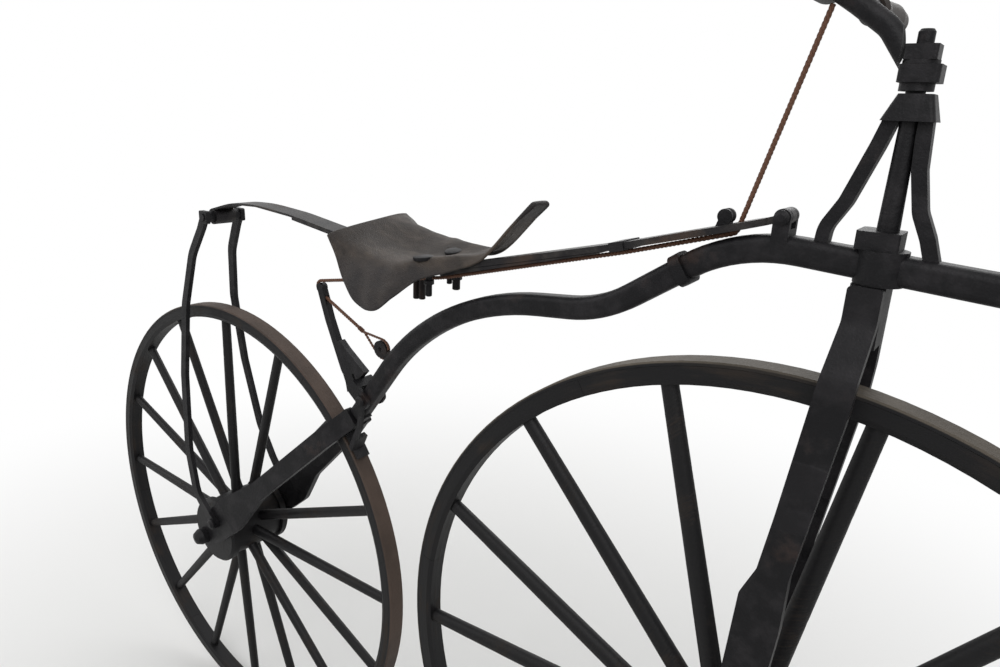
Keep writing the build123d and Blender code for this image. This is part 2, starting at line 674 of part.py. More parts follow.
with BuildPart() as cord_roller:
    roller_z = leaf_height(roller_at) + half_leaf + roller_radius + 1.0
    rim = roller_half - 3.0
    turned(place(roller_at, 0, roller_z),
           [(-roller_half, 0), (-roller_half, roller_radius), (-rim, roller_radius),
            (-rim + 1.3, roller_groove), (rim - 1.3, roller_groove), (rim, roller_radius),
            (roller_half, roller_radius), (roller_half, 0)])
    foot_low = roller_z - roller_radius - leaf_thick
    slab(side, roller_half, (roller_at - 9, foot_low), (roller_at + 6, foot_low),
         (roller_at + 4, roller_z - 2), (roller_at - 5, roller_z - 2))
    add(main_spring.part, mode=Mode.SUBTRACT)
    slab_under = Plane(origin=place(roller_at, 0, leaf_height(roller_at)), x_dir=(1, 0, 0), z_dir=(0, -1, 0))
    with BuildSketch(slab_under, mode=Mode.PRIVATE) as below:
        with Locations(Location((0, -20, 0), leaf_slope(roller_at))):
            Rectangle(60, 40)
    extrude(below.sketch, amount=40, both=True, mode=Mode.SUBTRACT)
finish(cord_roller, "cord_roller")


# Saddle
def saddle_arch(half, height, drop, lean, rise, inset):
    """Seven points across the saddle, from the rider's right to left, set in from its top face."""
    # share of the half width, share of the drop, share of the rise
    across_it = [(-1.0, 1.0, 0.0), (-0.9, 0.55, 0.5), (-shoulder_share, 0.14, 1.0), (0.0, 0.0, 0.0),
                 (shoulder_share, 0.14, 1.0), (0.9, 0.55, 0.5), (1.0, 1.0, 0.0)]
    narrow = (half - inset) / half
    return [(share * half * narrow, height + lean * share * half - drop * fall + rise * up - inset)
            for share, fall, up in across_it]


def saddle_top(ahead):
    """Half width, height of the middle, lean and rise of the saddle at a distance ahead of the seat."""
    for first, second in zip(saddle_sections, saddle_sections[1:]):
        if ahead <= second[0]:
            part_way = (ahead - first[0]) / (second[0] - first[0])
            return tuple(first[i] + part_way * (second[i] - first[i]) for i in (1, 2, 4, 5))
    return tuple(saddle_sections[-1][i] for i in (1, 2, 4, 5))


with BuildPart() as saddle:
    for ahead_x, half, height, drop, lean, rise in saddle_sections:
        with BuildSketch(Plane(origin=(ahead_x, 0, 0), x_dir=(0, 1, 0), z_dir=(1, 0, 0))):
            with BuildLine():
                top = Spline(*saddle_arch(half, height, drop, lean, rise, 0.0))
                low = Spline(*saddle_arch(half, height, drop, lean, rise, saddle_thick))
                Line(top @ 0, low @ 0)
                Line(top @ 1, low @ 1)
            make_face()
    loft()
    for clip_x, tail in clip_places:
        for hand in (-1, 1):
            with Locations((clip_x, hand * clip_leg_y, 0)):
                Cylinder(clip_leg_radius + bolt_slack, 80, mode=Mode.SUBTRACT)
finish(saddle, "saddle")

with BuildPart() as saddle_clips:
    for clip_x, tail in clip_places:
        slope = math.radians(leaf_slope(seat_x + clip_x))
        along = (math.cos(slope), 0, math.sin(slope))
        out = (-math.sin(slope), 0, math.cos(slope))
        leaf_at = place(seat_x + clip_x, 0, leaf_height(seat_x + clip_x))
        plate_at = leaf_at - Vector(*out) * (half_leaf + bolt_slack)
        with BuildSketch(Plane(origin=plate_at, x_dir=along, z_dir=out), mode=Mode.PRIVATE) as clip_plate:
            Rectangle(clip_plate_long, 2 * (clip_leg_y + clip_plate_lip))
        extrude(clip_plate.sketch, amount=-clip_plate_thick)
        half, top_height, lean, rise = saddle_top(clip_x)
        top_height += rise * (clip_leg_y / (shoulder_share * half)) ** 2
        for hand in (-1, 1):
            foot = Vector(clip_x, hand * clip_leg_y, plate_at.Z - tail)
            head = Vector(clip_x, hand * clip_leg_y, top_height + lean * hand * clip_leg_y - clip_head_sunk)
            with Locations(foot):
                Cylinder(clip_leg_radius, head.Z - foot.Z + 1.0, align=on_foot)
            with Locations(foot + Vector(0, 0, clip_nut_up)):
                Cylinder(clip_nut_radius, clip_nut_high, align=on_foot)
            with Locations(head):
                Cylinder(clip_head_radius, clip_head_sunk + clip_head_proud,
                         align=on_foot)
    add(saddle.part, mode=Mode.SUBTRACT)
finish(saddle_clips, "saddle_clips")

# Route of the brake cord: under the leaf, round the lever's tip, through the lever and on to the eye
pivot = bar_point(pivot_along)
lever_line = stepped(pivot, lever_points)
wrap_radius = lever_tip_radius + cord_radius + bolt_slack
tip_x, tip_z = lever_line[-1]
eye_at = bar_point(eye_along, eye_out)
cord_turn = (cord_hole_at, leaf_height(cord_hole_at) - half_leaf - cord_radius - cord_gap)
cord_knee = (clip_at, leaf_height(clip_at) - half_leaf - clip_proud - cord_radius - cord_gap)
cord_top = (handlebar_at[0] + 9.7, handlebar_at[1] - handlebar_boss_radius - 2.5)
cord_split = tuple(low + 0.13 * (high - low) for low, high in zip(cord_turn, cord_top))


def tangent_heading(point, sign):
    """Heading in degrees of the cord's straight way between a point and the wrap round the lever's tip."""
    ahead_x = (point[0] - tip_x) * sign
    ahead_z = (point[1] - tip_z) * sign
    spread = math.degrees(math.asin(wrap_radius / math.hypot(ahead_x, ahead_z)))
    return math.degrees(math.atan2(ahead_z, ahead_x)) + sign * spread


cord_end = (eye_at[0] - (eye_radius + cord_end_gap) * math.cos(cord_end_turn),
            eye_at[1] + (eye_radius + cord_end_gap) * math.sin(cord_end_turn))
heading_in = tangent_heading(cord_clip, -1) % 360
heading_out = tangent_heading(cord_end, 1) % 360
heading_mid = (heading_in + heading_out) / 2
wrap = []
for first, second in ((heading_in, heading_mid), (heading_mid, heading_out)):
    middle = math.radians((first + second) / 2)
    reach = wrap_radius / math.cos(math.radians(second - first) / 2)
    wrap.append((tip_x + reach * math.sin(middle), tip_z - reach * math.cos(middle)))

# Brake
cheek_in = bar_wide / 2 + cheek_gap
cheek_out = cheek_in + cheek_thick
with BuildPart() as brake_lever:
    top_bridge = bar_point(pivot_along, 24.0)
    cross = Plane(origin=place(pivot[0], 0, pivot[1]),
                  x_dir=(top_bridge[0] - pivot[0], 0, top_bridge[1] - pivot[1]), z_dir=(0, -1, 0))
    slab(cross, cheek_out, (cheek_low, -cheek_half_wide), (cheek_high, -cheek_half_wide),
         (cheek_high, cheek_half_wide), (cheek_low, cheek_half_wide), bends=[8.0, 4.0, 4.0, 8.0])
    slab(side, lever_thick / 2, *stepped(pivot, web_points))
    with BuildSketch(cross, mode=Mode.PRIVATE) as window:
        Rectangle(bar_high + 2 * cheek_window, 120)
    extrude(window.sketch, amount=cheek_in, both=True, mode=Mode.SUBTRACT)
    with BuildSketch(side, mode=Mode.PRIVATE) as slot:
        with Locations(Location((pivot[0] + web_slot[0], pivot[1] + web_slot[1], 0), -60)):
            SlotOverall(web_slot_long, web_slot_wide)
    extrude(slot.sketch, amount=60, both=True, mode=Mode.SUBTRACT)
    band(side, lever_thick / 2, lever_wide, lever_line, 20.0)
    disc(side, lever_line[-1], lever_tip_radius, lever_thick / 2)
    shoe_back = rear_radius + shoe_gap + shoe_thick
    landing = math.radians(shoe_angles[0] + shoe_landing)
    arm_end = (shoe_back * math.cos(landing), rear_radius + shoe_back * math.sin(landing))
    arm_knee = (pivot[0] + tail_knee[0], pivot[1] + tail_knee[1])
    arm_middle = ((arm_knee[0] + arm_end[0]) / 2, (arm_knee[1] + arm_end[1]) / 2)
    arm_plane = across(-(cheek_in + cheek_out) / 2)
    band(arm_plane, cheek_thick / 2, tail_wide, [pivot, arm_knee, arm_end], tail_bend)
    foot_half = (cheek_out + lever_thick / 2) / 2
    band(across(lever_thick / 2 - foot_half), foot_half, tail_wide, [arm_middle, arm_end], None)
    disc(side, (0, rear_radius), shoe_back + bolt_slack, 60, mode=Mode.SUBTRACT)
    disc(side, pivot, spring_bolt_radius + bolt_slack, 60, mode=Mode.SUBTRACT)
    band(side, cord_radius + 0.6, 2 * cord_radius + 1.2, [wrap[0], wrap[1], cord_end], wrap_radius,
         mode=Mode.SUBTRACT)
finish(brake_lever, "brake_lever")

with BuildPart() as brake_shoe:
    with BuildSketch(side):
        with Locations((0, rear_radius)):
            Circle(shoe_back)
            Circle(rear_radius + shoe_gap, mode=Mode.SUBTRACT)
        low_edge = math.radians(shoe_angles[0])
        high_edge = math.radians(shoe_angles[1])
        reach = 600.0
        with BuildLine():
            Polyline((0, rear_radius),
                     (reach * math.cos(low_edge), rear_radius + reach * math.sin(low_edge)),
                     (reach * math.cos(high_edge), rear_radius + reach * math.sin(high_edge)), close=True)
        make_face(mode=Mode.INTERSECT)
    extrude(amount=shoe_half_wide, both=True)
finish(brake_shoe, "brake_shoe")

with BuildPart() as brake_pivot:
    seat = cheek_out + bolt_slack
    turned(place(pivot[0], 0, pivot[1]), [(-seat - 6, 0), (-seat - 6, 5), (-seat - 4, 8), (-seat, 8),
                                          (-seat, spring_bolt_radius), (seat, spring_bolt_radius), (seat, 8),
                                          (seat + 4, 8), (seat + 6, 5), (seat + 6, 0)])
finish(brake_pivot, "brake_pivot")

with BuildPart() as cord_eye:
    disc(side, eye_at, eye_radius, eye_thick / 2)
    neck = bar_point(eye_along, bar_high / 2 + 4.0)
    to_eye = (eye_at[0] - neck[0], 0, eye_at[1] - neck[1])
    stalk_plane = Plane(origin=place(neck[0], 0, neck[1]), x_dir=to_eye, z_dir=(0, -1, 0))
    with BuildSketch(stalk_plane, mode=Mode.PRIVATE) as stalk:
        Rectangle(16, 12)
    extrude(stalk.sketch, amount=eye_thick / 2, both=True)
    disc(side, eye_at, eye_hole_radius, 20, mode=Mode.SUBTRACT)
    add(backbone.part, mode=Mode.SUBTRACT)
finish(cord_eye, "cord_eye")

# Steering column and fork
lug_low = head_foot + bracket_low
lug_top = lug_low + bracket_step_high + bracket_high
nut_low = lug_top + bolt_slack
column_top = nut_low + washer_thick + nut_high + stud_above
stem_low = head_foot - stem_long
with BuildPart() as steering_column:
    upright_turned(head_x, [(0, stem_low + 4), (column_radius, stem_low + 4),
                            (column_radius, head_top + boss_high + 5),
                            (column_neck_radius, head_foot + collar_low - 5), (column_neck_radius, lug_top),
                            (stud_radius, lug_top), (stud_radius, column_top - 2), (stud_tip, column_top),
                            (0, column_top)])
    with Locations(place(head_x + (stem_ahead - stem_back) / 2, 0, stem_low)):
        Box(stem_back + stem_ahead, 2 * stem_half, stem_long - seat_gap, align=on_foot)
finish(steering_column, "steering_column")

axle_at = (wheelbase, front_radius)
fork_outline = [*stepped(head_at, fork_back_top), *stepped(axle_at, fork_back_low),
                *stepped(axle_at, fork_front_low), *stepped(head_at, fork_front_top)]
for word, hand in (("left", 1), ("right", -1)):
    with BuildPart() as fork_blade:
        slab(side, 100, *fork_outline, bends=fork_bends)
        disc(side, axle_at, fork_eye_radius, 100)
        top_y = stem_half + blade_thick / 2
        lean = [(hand * top_y, head_foot + 26.5), (hand * top_y, head_foot - 31.5),
                (hand * fork_spread, head_foot - 78.5), (hand * fork_foot_y, front_radius + 53.0),
                (hand * fork_foot_y, front_radius - 37.0)]
        band(front_plane.offset(head_x), 300, blade_thick, lean, [30, 30, 60], mode=Mode.INTERSECT)
        disc(side, axle_at, front_axle_radius + running_gap, 100, mode=Mode.SUBTRACT)
        with Locations(place(head_x, 0, head_foot - seat_gap)):
            Box(200, 200, 100, align=on_foot, mode=Mode.SUBTRACT)
    finish(fork_blade, f"fork_blade_{word}")

with BuildPart() as bar_bracket:
    upright_turned(head_x, [(0, lug_low), (bracket_step_radius, lug_low),
                            (bracket_step_radius, lug_low + bracket_step_high),
                            (0, lug_low + bracket_step_high)])
    with BuildSketch(Plane(place(head_x + bracket_shift, 0, lug_low + bracket_step_high))):
        RectangleRounded(bracket_side, bracket_side, 4.0)
    extrude(amount=bracket_high)
    with BuildLine(side) as arm_path:
        FilletPolyline(*stepped(head_at, bracket_arm), handlebar_at, radius=bracket_bends)
    with BuildSketch(Plane(origin=arm_path.line @ 0, x_dir=(0, 1, 0), z_dir=arm_path.line % 0)):
        Circle(bracket_arm_radius)
    sweep(path=arm_path.line)
    disc(side, handlebar_at, handlebar_boss_radius, handlebar_boss_half)
    disc(side, handlebar_at, handlebar_radius + running_gap, 60, mode=Mode.SUBTRACT)
    with Locations(place(head_x, 0, lug_low - 20)):
        Cylinder(column_neck_radius + running_gap, 200, mode=Mode.SUBTRACT)
    with Locations(place(head_x, 0, lug_top)):
        Cylinder(nut_side * 0.72, 60, align=on_foot, mode=Mode.SUBTRACT)
finish(bar_bracket, "bar_bracket")

with BuildPart() as column_nut:
    upright_turned(head_x, [(0, nut_low), (washer_radius, nut_low), (washer_radius, nut_low + washer_thick),
                            (0, nut_low + washer_thick)])
    with BuildSketch(Plane(place(head_x, 0, nut_low + washer_thick))):
        RectangleRounded(nut_side, nut_side, 2.5)
    extrude(amount=nut_high)
    with Locations(place(head_x, 0, nut_low)):
        Cylinder(stud_radius + running_gap, 100, mode=Mode.SUBTRACT)
finish(column_nut, "column_nut")

bar_centre = place(handlebar_at[0], 0, handlebar_at[1])
with BuildPart() as handlebar:
    turned(bar_centre, [(-handlebar_half, 0), (-handlebar_half, handlebar_radius),
                        (handlebar_half, handlebar_radius), (handlebar_half, 0)])
finish(handlebar, "handlebar")

for word, hand in (("left", 1), ("right", -1)):
    with BuildPart() as grip:
        inner = handlebar_half + grip_cap - grip_long
        turned(bar_centre, [(hand * inner, handlebar_radius + bolt_slack), (hand * inner, grip_radius - 4),
                            (hand * (inner + 8), grip_radius - 1), (hand * (inner + 30), grip_radius - 3),
                            (hand * (inner + 80), grip_radius),
                            (hand * (handlebar_half - 2), grip_radius - 2),
                            (hand * (handlebar_half + 4), grip_radius - 7), (hand * (handlebar_half + 4), 0),
                            (hand * (handlebar_half + bolt_slack), 0),
                            (hand * (handlebar_half + bolt_slack), handlebar_radius + bolt_slack)])
    finish(grip, f"grip_{word}")

# Front axle, cranks and pedals
crank_outer_y = crank_inner_y + crank_thick
with BuildPart() as front_axle:
    collar = fork_foot_y - blade_thick / 2 - 0.6
    end = crank_outer_y + 3
    hub_end = front_hub_half + bolt_slack
    turned(front_centre, [(-end, 0), (-end, front_axle_radius - 1.5), (-end + 1.5, front_axle_radius),
                          (-collar, front_axle_radius), (-collar, 15), (-hub_end, 15),
                          (-hub_end, front_axle_radius), (hub_end, front_axle_radius), (hub_end, 15),
                          (collar, 15), (collar, front_axle_radius), (end - 1.5, front_axle_radius),
                          (end, front_axle_radius - 1.5), (end, 0)])
finish(front_axle, "front_axle")

for word, hand, turn in (("left", 1, 180.0), ("right", -1, 0.0)):
    ray = outward(crank_angle + turn)
    hub_at = place(wheelbase, hand * (crank_inner_y + crank_thick / 2), front_radius)
    crank_plane = Plane(origin=hub_at, x_dir=ray, z_dir=(0, -1, 0))
    with BuildPart() as crank:
        with BuildSketch(crank_plane):
            Circle(crank_boss_radius)
            with Locations((crank_length, 0)):
                Circle(crank_tip_radius)
            with BuildLine():
                Polyline((0, -crank_boss_radius + 1), (crank_length, -crank_tip_radius + 0.2),
                         (crank_length, crank_tip_radius - 0.2), (0, crank_boss_radius - 1), close=True)
            make_face()
            Circle(front_axle_radius + running_gap, mode=Mode.SUBTRACT)
            with Locations((crank_length - crank_slot_long / 2 + spindle_radius, 0)):
                SlotOverall(crank_slot_long, 2 * (spindle_radius + running_gap), mode=Mode.SUBTRACT)
        extrude(amount=crank_thick / 2, both=True)
    finish(crank, f"crank_{word}")

    tip_centre = front_centre + ray * crank_length
    pedal_in = crank_outer_y + pedal_set_off
    pedal_out = pedal_in + pedal_long
    with BuildPart() as spindle:
        outline = [(crank_inner_y + 0.5, 0), (crank_inner_y + 0.5, spindle_radius),
                   (crank_outer_y + bolt_slack, spindle_radius), (crank_outer_y + bolt_slack, 12),
                   (pedal_in - pedal_gap, 12), (pedal_in - pedal_gap, spindle_radius),
                   (pedal_out + pedal_gap, spindle_radius), (pedal_out + pedal_gap, 11),
                   (pedal_out + 6, 11), (pedal_out + 8, 8), (pedal_out + 8, 0)]
        turned(tip_centre, [(hand * y, radius) for y, radius in outline])
    finish(spindle, f"pedal_spindle_{word}")

    with BuildPart() as pedal:
        bore = spindle_radius + running_gap
        outline = [(pedal_in, bore), (pedal_in, pedal_radius - 3), (pedal_in + 3, pedal_radius),
                   (pedal_in + 9, pedal_radius), (pedal_in + 14, pedal_waist + 2),
                   (pedal_in + pedal_long / 2, pedal_waist), (pedal_out - 14, pedal_waist + 2),
                   (pedal_out - 9, pedal_radius), (pedal_out - 3, pedal_radius),
                   (pedal_out, pedal_radius - 3), (pedal_out, bore)]
        turned(tip_centre, [(hand * y, radius) for y, radius in outline])
    finish(pedal, f"pedal_{word}")

# Brake cord
front_route = [cord_top, cord_split]
rear_route = [cord_split, cord_turn, cord_knee, cord_clip, *wrap, cord_end]
rear_bends = [cord_turn_radius, cord_clip_radius, cord_clip_radius, wrap_radius, wrap_radius]
print("cord bend radii", [round(bend, 1) for bend in rear_bends])


def cord(route, bends):
    """A round cord along straight runs joined by arcs."""
    with BuildLine(side, mode=Mode.PRIVATE) as path:
        if bends:
            FilletPolyline(*route, radius=bends)
        else:
            Line(*route)
    start_plane = Plane(origin=path.line @ 0, x_dir=(0, 1, 0), z_dir=path.line % 0)
    with BuildSketch(start_plane, mode=Mode.PRIVATE) as section:
        Circle(cord_radius)
    sweep(section.sketch, path=path.line)


with BuildPart() as brake_cord_rear:
    cord(rear_route, rear_bends)
finish(brake_cord_rear, "brake_cord_rear")

with BuildPart() as brake_cord_front:
    cord(front_route, None)
finish(brake_cord_front, "brake_cord_front")
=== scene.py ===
# %% [markdown]
# # Dressing a wrought-iron velocipede
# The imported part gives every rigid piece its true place: two wooden wheels, a forged backbone, a
# sprung saddle, the steering head and the brake. This notebook gives those pieces their finishes
# and adds what a modeller leaves to the last: the leather, its bolt heads, a thin second leaf under
# the spring and a twisted cord.
# The frame is loaded first, and nothing in it is moved or reshaped.

# %% Load the frame
import math

import bpy
import numpy as np
from mathutils import Matrix, Vector


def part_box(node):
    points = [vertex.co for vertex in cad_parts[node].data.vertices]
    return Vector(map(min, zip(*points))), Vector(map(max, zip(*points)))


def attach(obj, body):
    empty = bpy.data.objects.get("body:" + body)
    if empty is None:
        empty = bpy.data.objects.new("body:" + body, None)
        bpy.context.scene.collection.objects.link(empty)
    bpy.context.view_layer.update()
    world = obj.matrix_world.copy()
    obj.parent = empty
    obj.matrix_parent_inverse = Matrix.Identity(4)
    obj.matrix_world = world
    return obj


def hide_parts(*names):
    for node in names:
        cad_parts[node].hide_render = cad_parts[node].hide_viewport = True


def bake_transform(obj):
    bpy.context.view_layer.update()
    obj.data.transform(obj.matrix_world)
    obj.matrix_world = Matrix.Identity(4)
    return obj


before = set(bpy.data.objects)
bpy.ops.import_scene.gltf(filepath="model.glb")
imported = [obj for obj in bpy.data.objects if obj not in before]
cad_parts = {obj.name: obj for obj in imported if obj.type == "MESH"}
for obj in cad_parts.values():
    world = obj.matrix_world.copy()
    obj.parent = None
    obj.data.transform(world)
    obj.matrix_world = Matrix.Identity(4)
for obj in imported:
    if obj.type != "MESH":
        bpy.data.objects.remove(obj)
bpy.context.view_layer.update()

# %% [markdown]
# ## Where things are
# The two wheel centres come from the boxes round the tyres, and the ground is the tyres' lowest
# point, so the wheels' finishes follow the part if a size changes. The saddle, its clips and the
# cord are measured from the frame's origin, which is the middle of the seat.

# %% Landmarks


def middle(node):
    """The middle of a node's box at rest."""
    low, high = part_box(node)
    return (low + high) / 2


def wheel_radius(node):
    """Half the height of a wheel's tyre."""
    low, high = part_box(node)
    return (high.z - low.z) / 2


front_centre = middle("front_tyre")
rear_centre = middle("rear_tyre")
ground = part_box("front_tyre")[0].z
print("front", front_centre, "rear", rear_centre, "ground", round(ground, 4))

# %% [markdown]
# ## The camera
# The photograph was taken close to the machine with a wide lens, from the rider's right and a
# little ahead, which is why the front wheel is cut by the edge of the picture. The place and turn
# were worked out from the wheels' ellipses; here they are set as a plain matrix: the camera's own
# X, Y and Z axes are the columns.

# %% Camera
camera_data = bpy.data.cameras.new("camera")
camera = bpy.data.objects.new("camera", camera_data)
bpy.context.scene.collection.objects.link(camera)
bpy.context.scene.camera = camera
camera_data.sensor_width = 36.0
camera_data.lens = 26.0
azimuth, elevation, roll = (math.radians(degrees) for degrees in (36.89, 17.08, 2.44))
back = Vector((math.sin(azimuth) * math.cos(elevation), -math.cos(azimuth) * math.cos(elevation),
               math.sin(elevation)))
right = (-back).cross(Vector((0, 0, 1))).normalized()
up = right.cross(-back)
right, up = (right * math.cos(roll) + up * math.sin(roll), up * math.cos(roll) - right * math.sin(roll))
# metres ahead of the rear wheel's centre, aside and above the ground
ahead_of_hub, aside_of_hub, above_ground = 1.0599, -0.6531, 1.1264
place = Vector((rear_centre.x + ahead_of_hub, aside_of_hub, ground + above_ground))
camera.matrix_world = Matrix.Translation(place) @ Matrix((right, up, back)).transposed().to_4x4()
print("camera at", place)

# %% [markdown]
# ## Writing shader maths as expressions
# Node trees are easier to read as formulas. One class wraps an output socket, so that `1 - mask`
# or `grain * 0.3` adds the Math node it needs, and one method makes every other kind of node.

# %% A socket that can be added and multiplied


class Wire:
    """One output of a shader node; arithmetic on it adds Math nodes."""

    def __init__(self, paint, socket):
        self.paint = paint
        self.socket = socket

    def _math(self, operation, a, b):
        return self.paint.node("ShaderNodeMath", {"operation": operation}, {0: a, 1: b})

    def __add__(self, other):
        return self._math("ADD", self, other)

    def __rsub__(self, other):
        return self._math("SUBTRACT", other, self)

    def __mul__(self, other):
        return self._math("MULTIPLY", self, other)

    def __pow__(self, other):
        return self._math("POWER", self, other)

    __radd__ = __add__

    def ramp(self, low, high):
        """0 below low, 1 above high and the smooth step 3 t^2 - 2 t^3 between."""
        settings = {"interpolation_type": "SMOOTHSTEP"}
        values = {"Value": self, "From Min": low, "From Max": high}
        return self.paint.node("ShaderNodeMapRange", settings, values)


print("wires ready")

# %% The node tree of a finish


class Paint:
    """The node tree of one finish."""

    def __init__(self, name):
        self.material = bpy.data.materials.new(name)
        self.material.use_nodes = True
        self.tree = self.material.node_tree
        self.shader = self.tree.nodes["Principled BSDF"]
        self.place = self.node("ShaderNodeTexCoord", out="Object")

    def node(self, kind, settings=None, values=None, out=0):
        """A node of a kind, with its settings first and then the values or links of its sockets."""
        made = self.tree.nodes.new(kind)
        for key, value in (settings or {}).items():
            setattr(made, key, value)
        for key, value in (values or {}).items():
            self.put(made.inputs[key], value)
        return Wire(self, made.outputs[out])

    def put(self, socket, value):
        """Link a wire to a socket, or write a plain value into it."""
        if isinstance(value, Wire):
            self.tree.links.new(value.socket, socket)
        else:
            socket.default_value = value

    def noise(self, scale, detail=4.0, at=None, rough=0.55):
        """Cloudy noise from 0 to 1, with scale features to the metre."""
        values = {"Vector": at or self.place, "Scale": scale, "Detail": detail, "Roughness": rough}
        return self.node("ShaderNodeTexNoise", None, values)

    def stretched(self, x, y, z, at=None):
        """The place with each axis multiplied, which draws a pattern out along the small ones."""
        values = {0: at or self.place, 1: (x, y, z)}
        return self.node("ShaderNodeVectorMath", {"operation": "MULTIPLY"}, values)

    def joined(self, x, y, z):
        """The place with these three coordinates."""
        return self.node("ShaderNodeCombineXYZ", None, {"X": x, "Y": y, "Z": z})

    def split(self, at):
        """The three coordinates of a place."""
        parts = self.node("ShaderNodeSeparateXYZ", None, {0: at}).socket.node
        return [Wire(self, parts.outputs[axis]) for axis in "XYZ"]

    def mix(self, factor, a, b):
        """From colour a to colour b as factor goes from 0 to 1."""
        return self.node("ShaderNodeMix", {"data_type": "RGBA"}, {0: factor, 6: a, 7: b}, out=2)

    def finish(self, **sockets):
        """Set the shader's sockets; Bump is a (height, distance in metres) pair."""
        for key, value in sockets.items():
            if key == "Bump":
                height, distance = value
                value = self.node("ShaderNodeBump", None, {"Height": height, "Distance": distance})
                key = "Normal"
            self.put(self.shader.inputs[key.replace("_", " ")], value)
        return self.material


print("paints ready")

# %% [markdown]
# ## Old black iron
# The backbone, head, struts and springs are wrought iron, once painted black and now rubbed down
# to a near black with brown rust in the hollows. Three noises do it: a broad one for the patches of
# rust, a middle one for rubbed paint and a fine one for the pitted skin. The fork's blades get one
# more, drawn out across them: it bumps steps that the hammer left, and paints lighter bands over
# them, which are painted reflections.

# %% Iron
# share of the plain reflection that old black paint keeps, and the depth of its pits in metres
dull_shine, pit_depth = 0.2, 0.0009
# how far the noise rises from the first rust to full rust
rust_edge = 0.14


def iron_finish(name, dark, rubbed_and_reflection, rust, rust_from, roughness, hammer_steps_and_reflections=False):
    """Dark paint mixed with rubbed paint, and with rust where 0.7 broad + 0.3 middle noise passes
    rust_from; the last flag adds steps across the bar as bumps, with lighter bands in the rubbed colour
    over them, which are painted reflections."""
    paint = Paint(name)
    broad = paint.noise(9.0, 5.0)
    rub = paint.noise(38.0, 6.0, rough=0.65)
    pits = paint.noise(420.0, 3.0)
    rust_mask = (broad * 0.7 + rub * 0.3).ramp(rust_from, rust_from + rust_edge)
    base = paint.mix(rub.ramp(0.42, 0.68), dark, rubbed_and_reflection)
    colour = paint.mix(rust_mask * (0.45 + pits * 0.5), base, rust)
    rough = roughness + rust_mask * 0.22 + pits * 0.08
    height = rub * 0.6 + pits * 0.5 + rust_mask * 0.3
    if hammer_steps_and_reflections:
        # the steps are bumps; the lighter bands mixed over them towards the rubbed colour are painted
        # reflections
        hammer_steps_and_reflection_bands = paint.noise(6.0, 2.0, at=paint.stretched(0.5, 0.5, 2.4)).ramp(0.5, 0.53)
        height = height + hammer_steps_and_reflection_bands * 0.8
        colour = paint.mix(hammer_steps_and_reflection_bands * 0.35, colour, rubbed_and_reflection)
    return paint.finish(Base_Color=colour, Roughness=rough, Metallic=0.2 - rust_mask * 0.18,
                        Bump=(height, pit_depth), Specular_IOR_Level=dull_shine)


black_paint = (0.0055, 0.0053, 0.0062, 1)
rubbed_paint_and_reflection = (0.015, 0.014, 0.0155, 1)
rust = (0.036, 0.019, 0.013, 1)
iron = iron_finish("black_iron", black_paint, rubbed_paint_and_reflection, rust, rust_from=0.56, roughness=0.46)
blade_iron = iron_finish("hammered_iron_painted_reflections", black_paint, rubbed_paint_and_reflection, rust, rust_from=0.54, roughness=0.42,
                         hammer_steps_and_reflections=True)
worn_iron = iron_finish("worn_iron", (0.013, 0.012, 0.013, 1), (0.034, 0.031, 0.029, 1),
                        (0.045, 0.026, 0.018, 1), rust_from=0.56, roughness=0.4)
print("iron finishes", iron.name, blade_iron.name, worn_iron.name)

# %% [markdown]
# ## The tyres
# An iron hoop is rubbed to a grey brown where it meets the road and stays dark on its sides. The
# tread is where the distance from the axle is largest, so the shader measures that distance.

# %% Tyre iron
# metres in from the tread, across the tyre's bevel, over which the worn colour comes up
bevel_foot, bevel_top = 0.0022, 0.0008


def axle_distance(paint, centre):
    """The distance (ahead^2 + above^2)^0.5 from a wheel's axle line, which runs along Y through its
    centre, and the place measured from that centre: ahead, above and aside."""
    from_centre = paint.node("ShaderNodeVectorMath", {"operation": "SUBTRACT"}, {0: paint.place, 1: centre})
    ahead, aside, above = paint.split(from_centre)
    return (ahead * ahead + above * above) ** 0.5, ahead, above, aside


def toned(colour, factor):
    """A colour with its red, green and blue multiplied."""
    return tuple(factor * part for part in colour[:3]) + (1,)


def tyre_finish(name, centre, radius, tread):
    """Dark sides and a worn tread: side (1 - w) + tread w, where w steps up as the distance from the
    axle nears the radius; scratches run round the wheel."""
    paint = Paint(name)
    reach, ahead, _, aside = axle_distance(paint, centre)
    broad = paint.noise(12.0, 5.0)
    pits = paint.noise(300.0, 4.0)
    scratches = paint.noise(1.0, 4.0, at=paint.joined(reach * 40.0, aside * 900.0, ahead * 6.0))
    worn = (reach + pits * 0.0006).ramp(radius - bevel_foot, radius - bevel_top)
    top = paint.mix(broad.ramp(0.35, 0.65), tread, toned(tread, 0.62))
    top = paint.mix(scratches.ramp(0.5, 0.75) * 0.5, top, toned(tread, 1.25))
    side = paint.mix(broad.ramp(0.45, 0.7), (0.006, 0.006, 0.007, 1), (0.017, 0.014, 0.012, 1))
    colour = paint.mix(worn, side, top)
    height = pits * 0.6 + scratches * 0.4 + broad * 0.4
    return paint.finish(Base_Color=colour, Roughness=0.55 + pits * 0.2, Metallic=0.15,
                        Specular_IOR_Level=0.25, Bump=(height, 0.0008))


front_tread, rear_tread = (0.088, 0.074, 0.058, 1), (0.066, 0.046, 0.036, 1)
front_tyre_iron = tyre_finish("front_tyre_iron", front_centre, wheel_radius("front_tyre"), front_tread)
rear_tyre_iron = tyre_finish("rear_tyre_iron", rear_centre, wheel_radius("rear_tyre"), rear_tread)
print("tyre finishes", front_tyre_iron.name, rear_tyre_iron.name)

# %% [markdown]
# ## Painted wood
# Felloes, spokes and hubs are ash, painted black. The grain shows through as fine long ridges, and
# they have to run the way the wood was cut: out along a spoke, round a felloe and along the hub.
# Round a wheel that is easiest to say in polar terms, from the distance and the angle.

# %% Wood
# metres over which the grain changes at the hub and at the felloes
hub_edge, felloe_edge = 0.008, 0.002


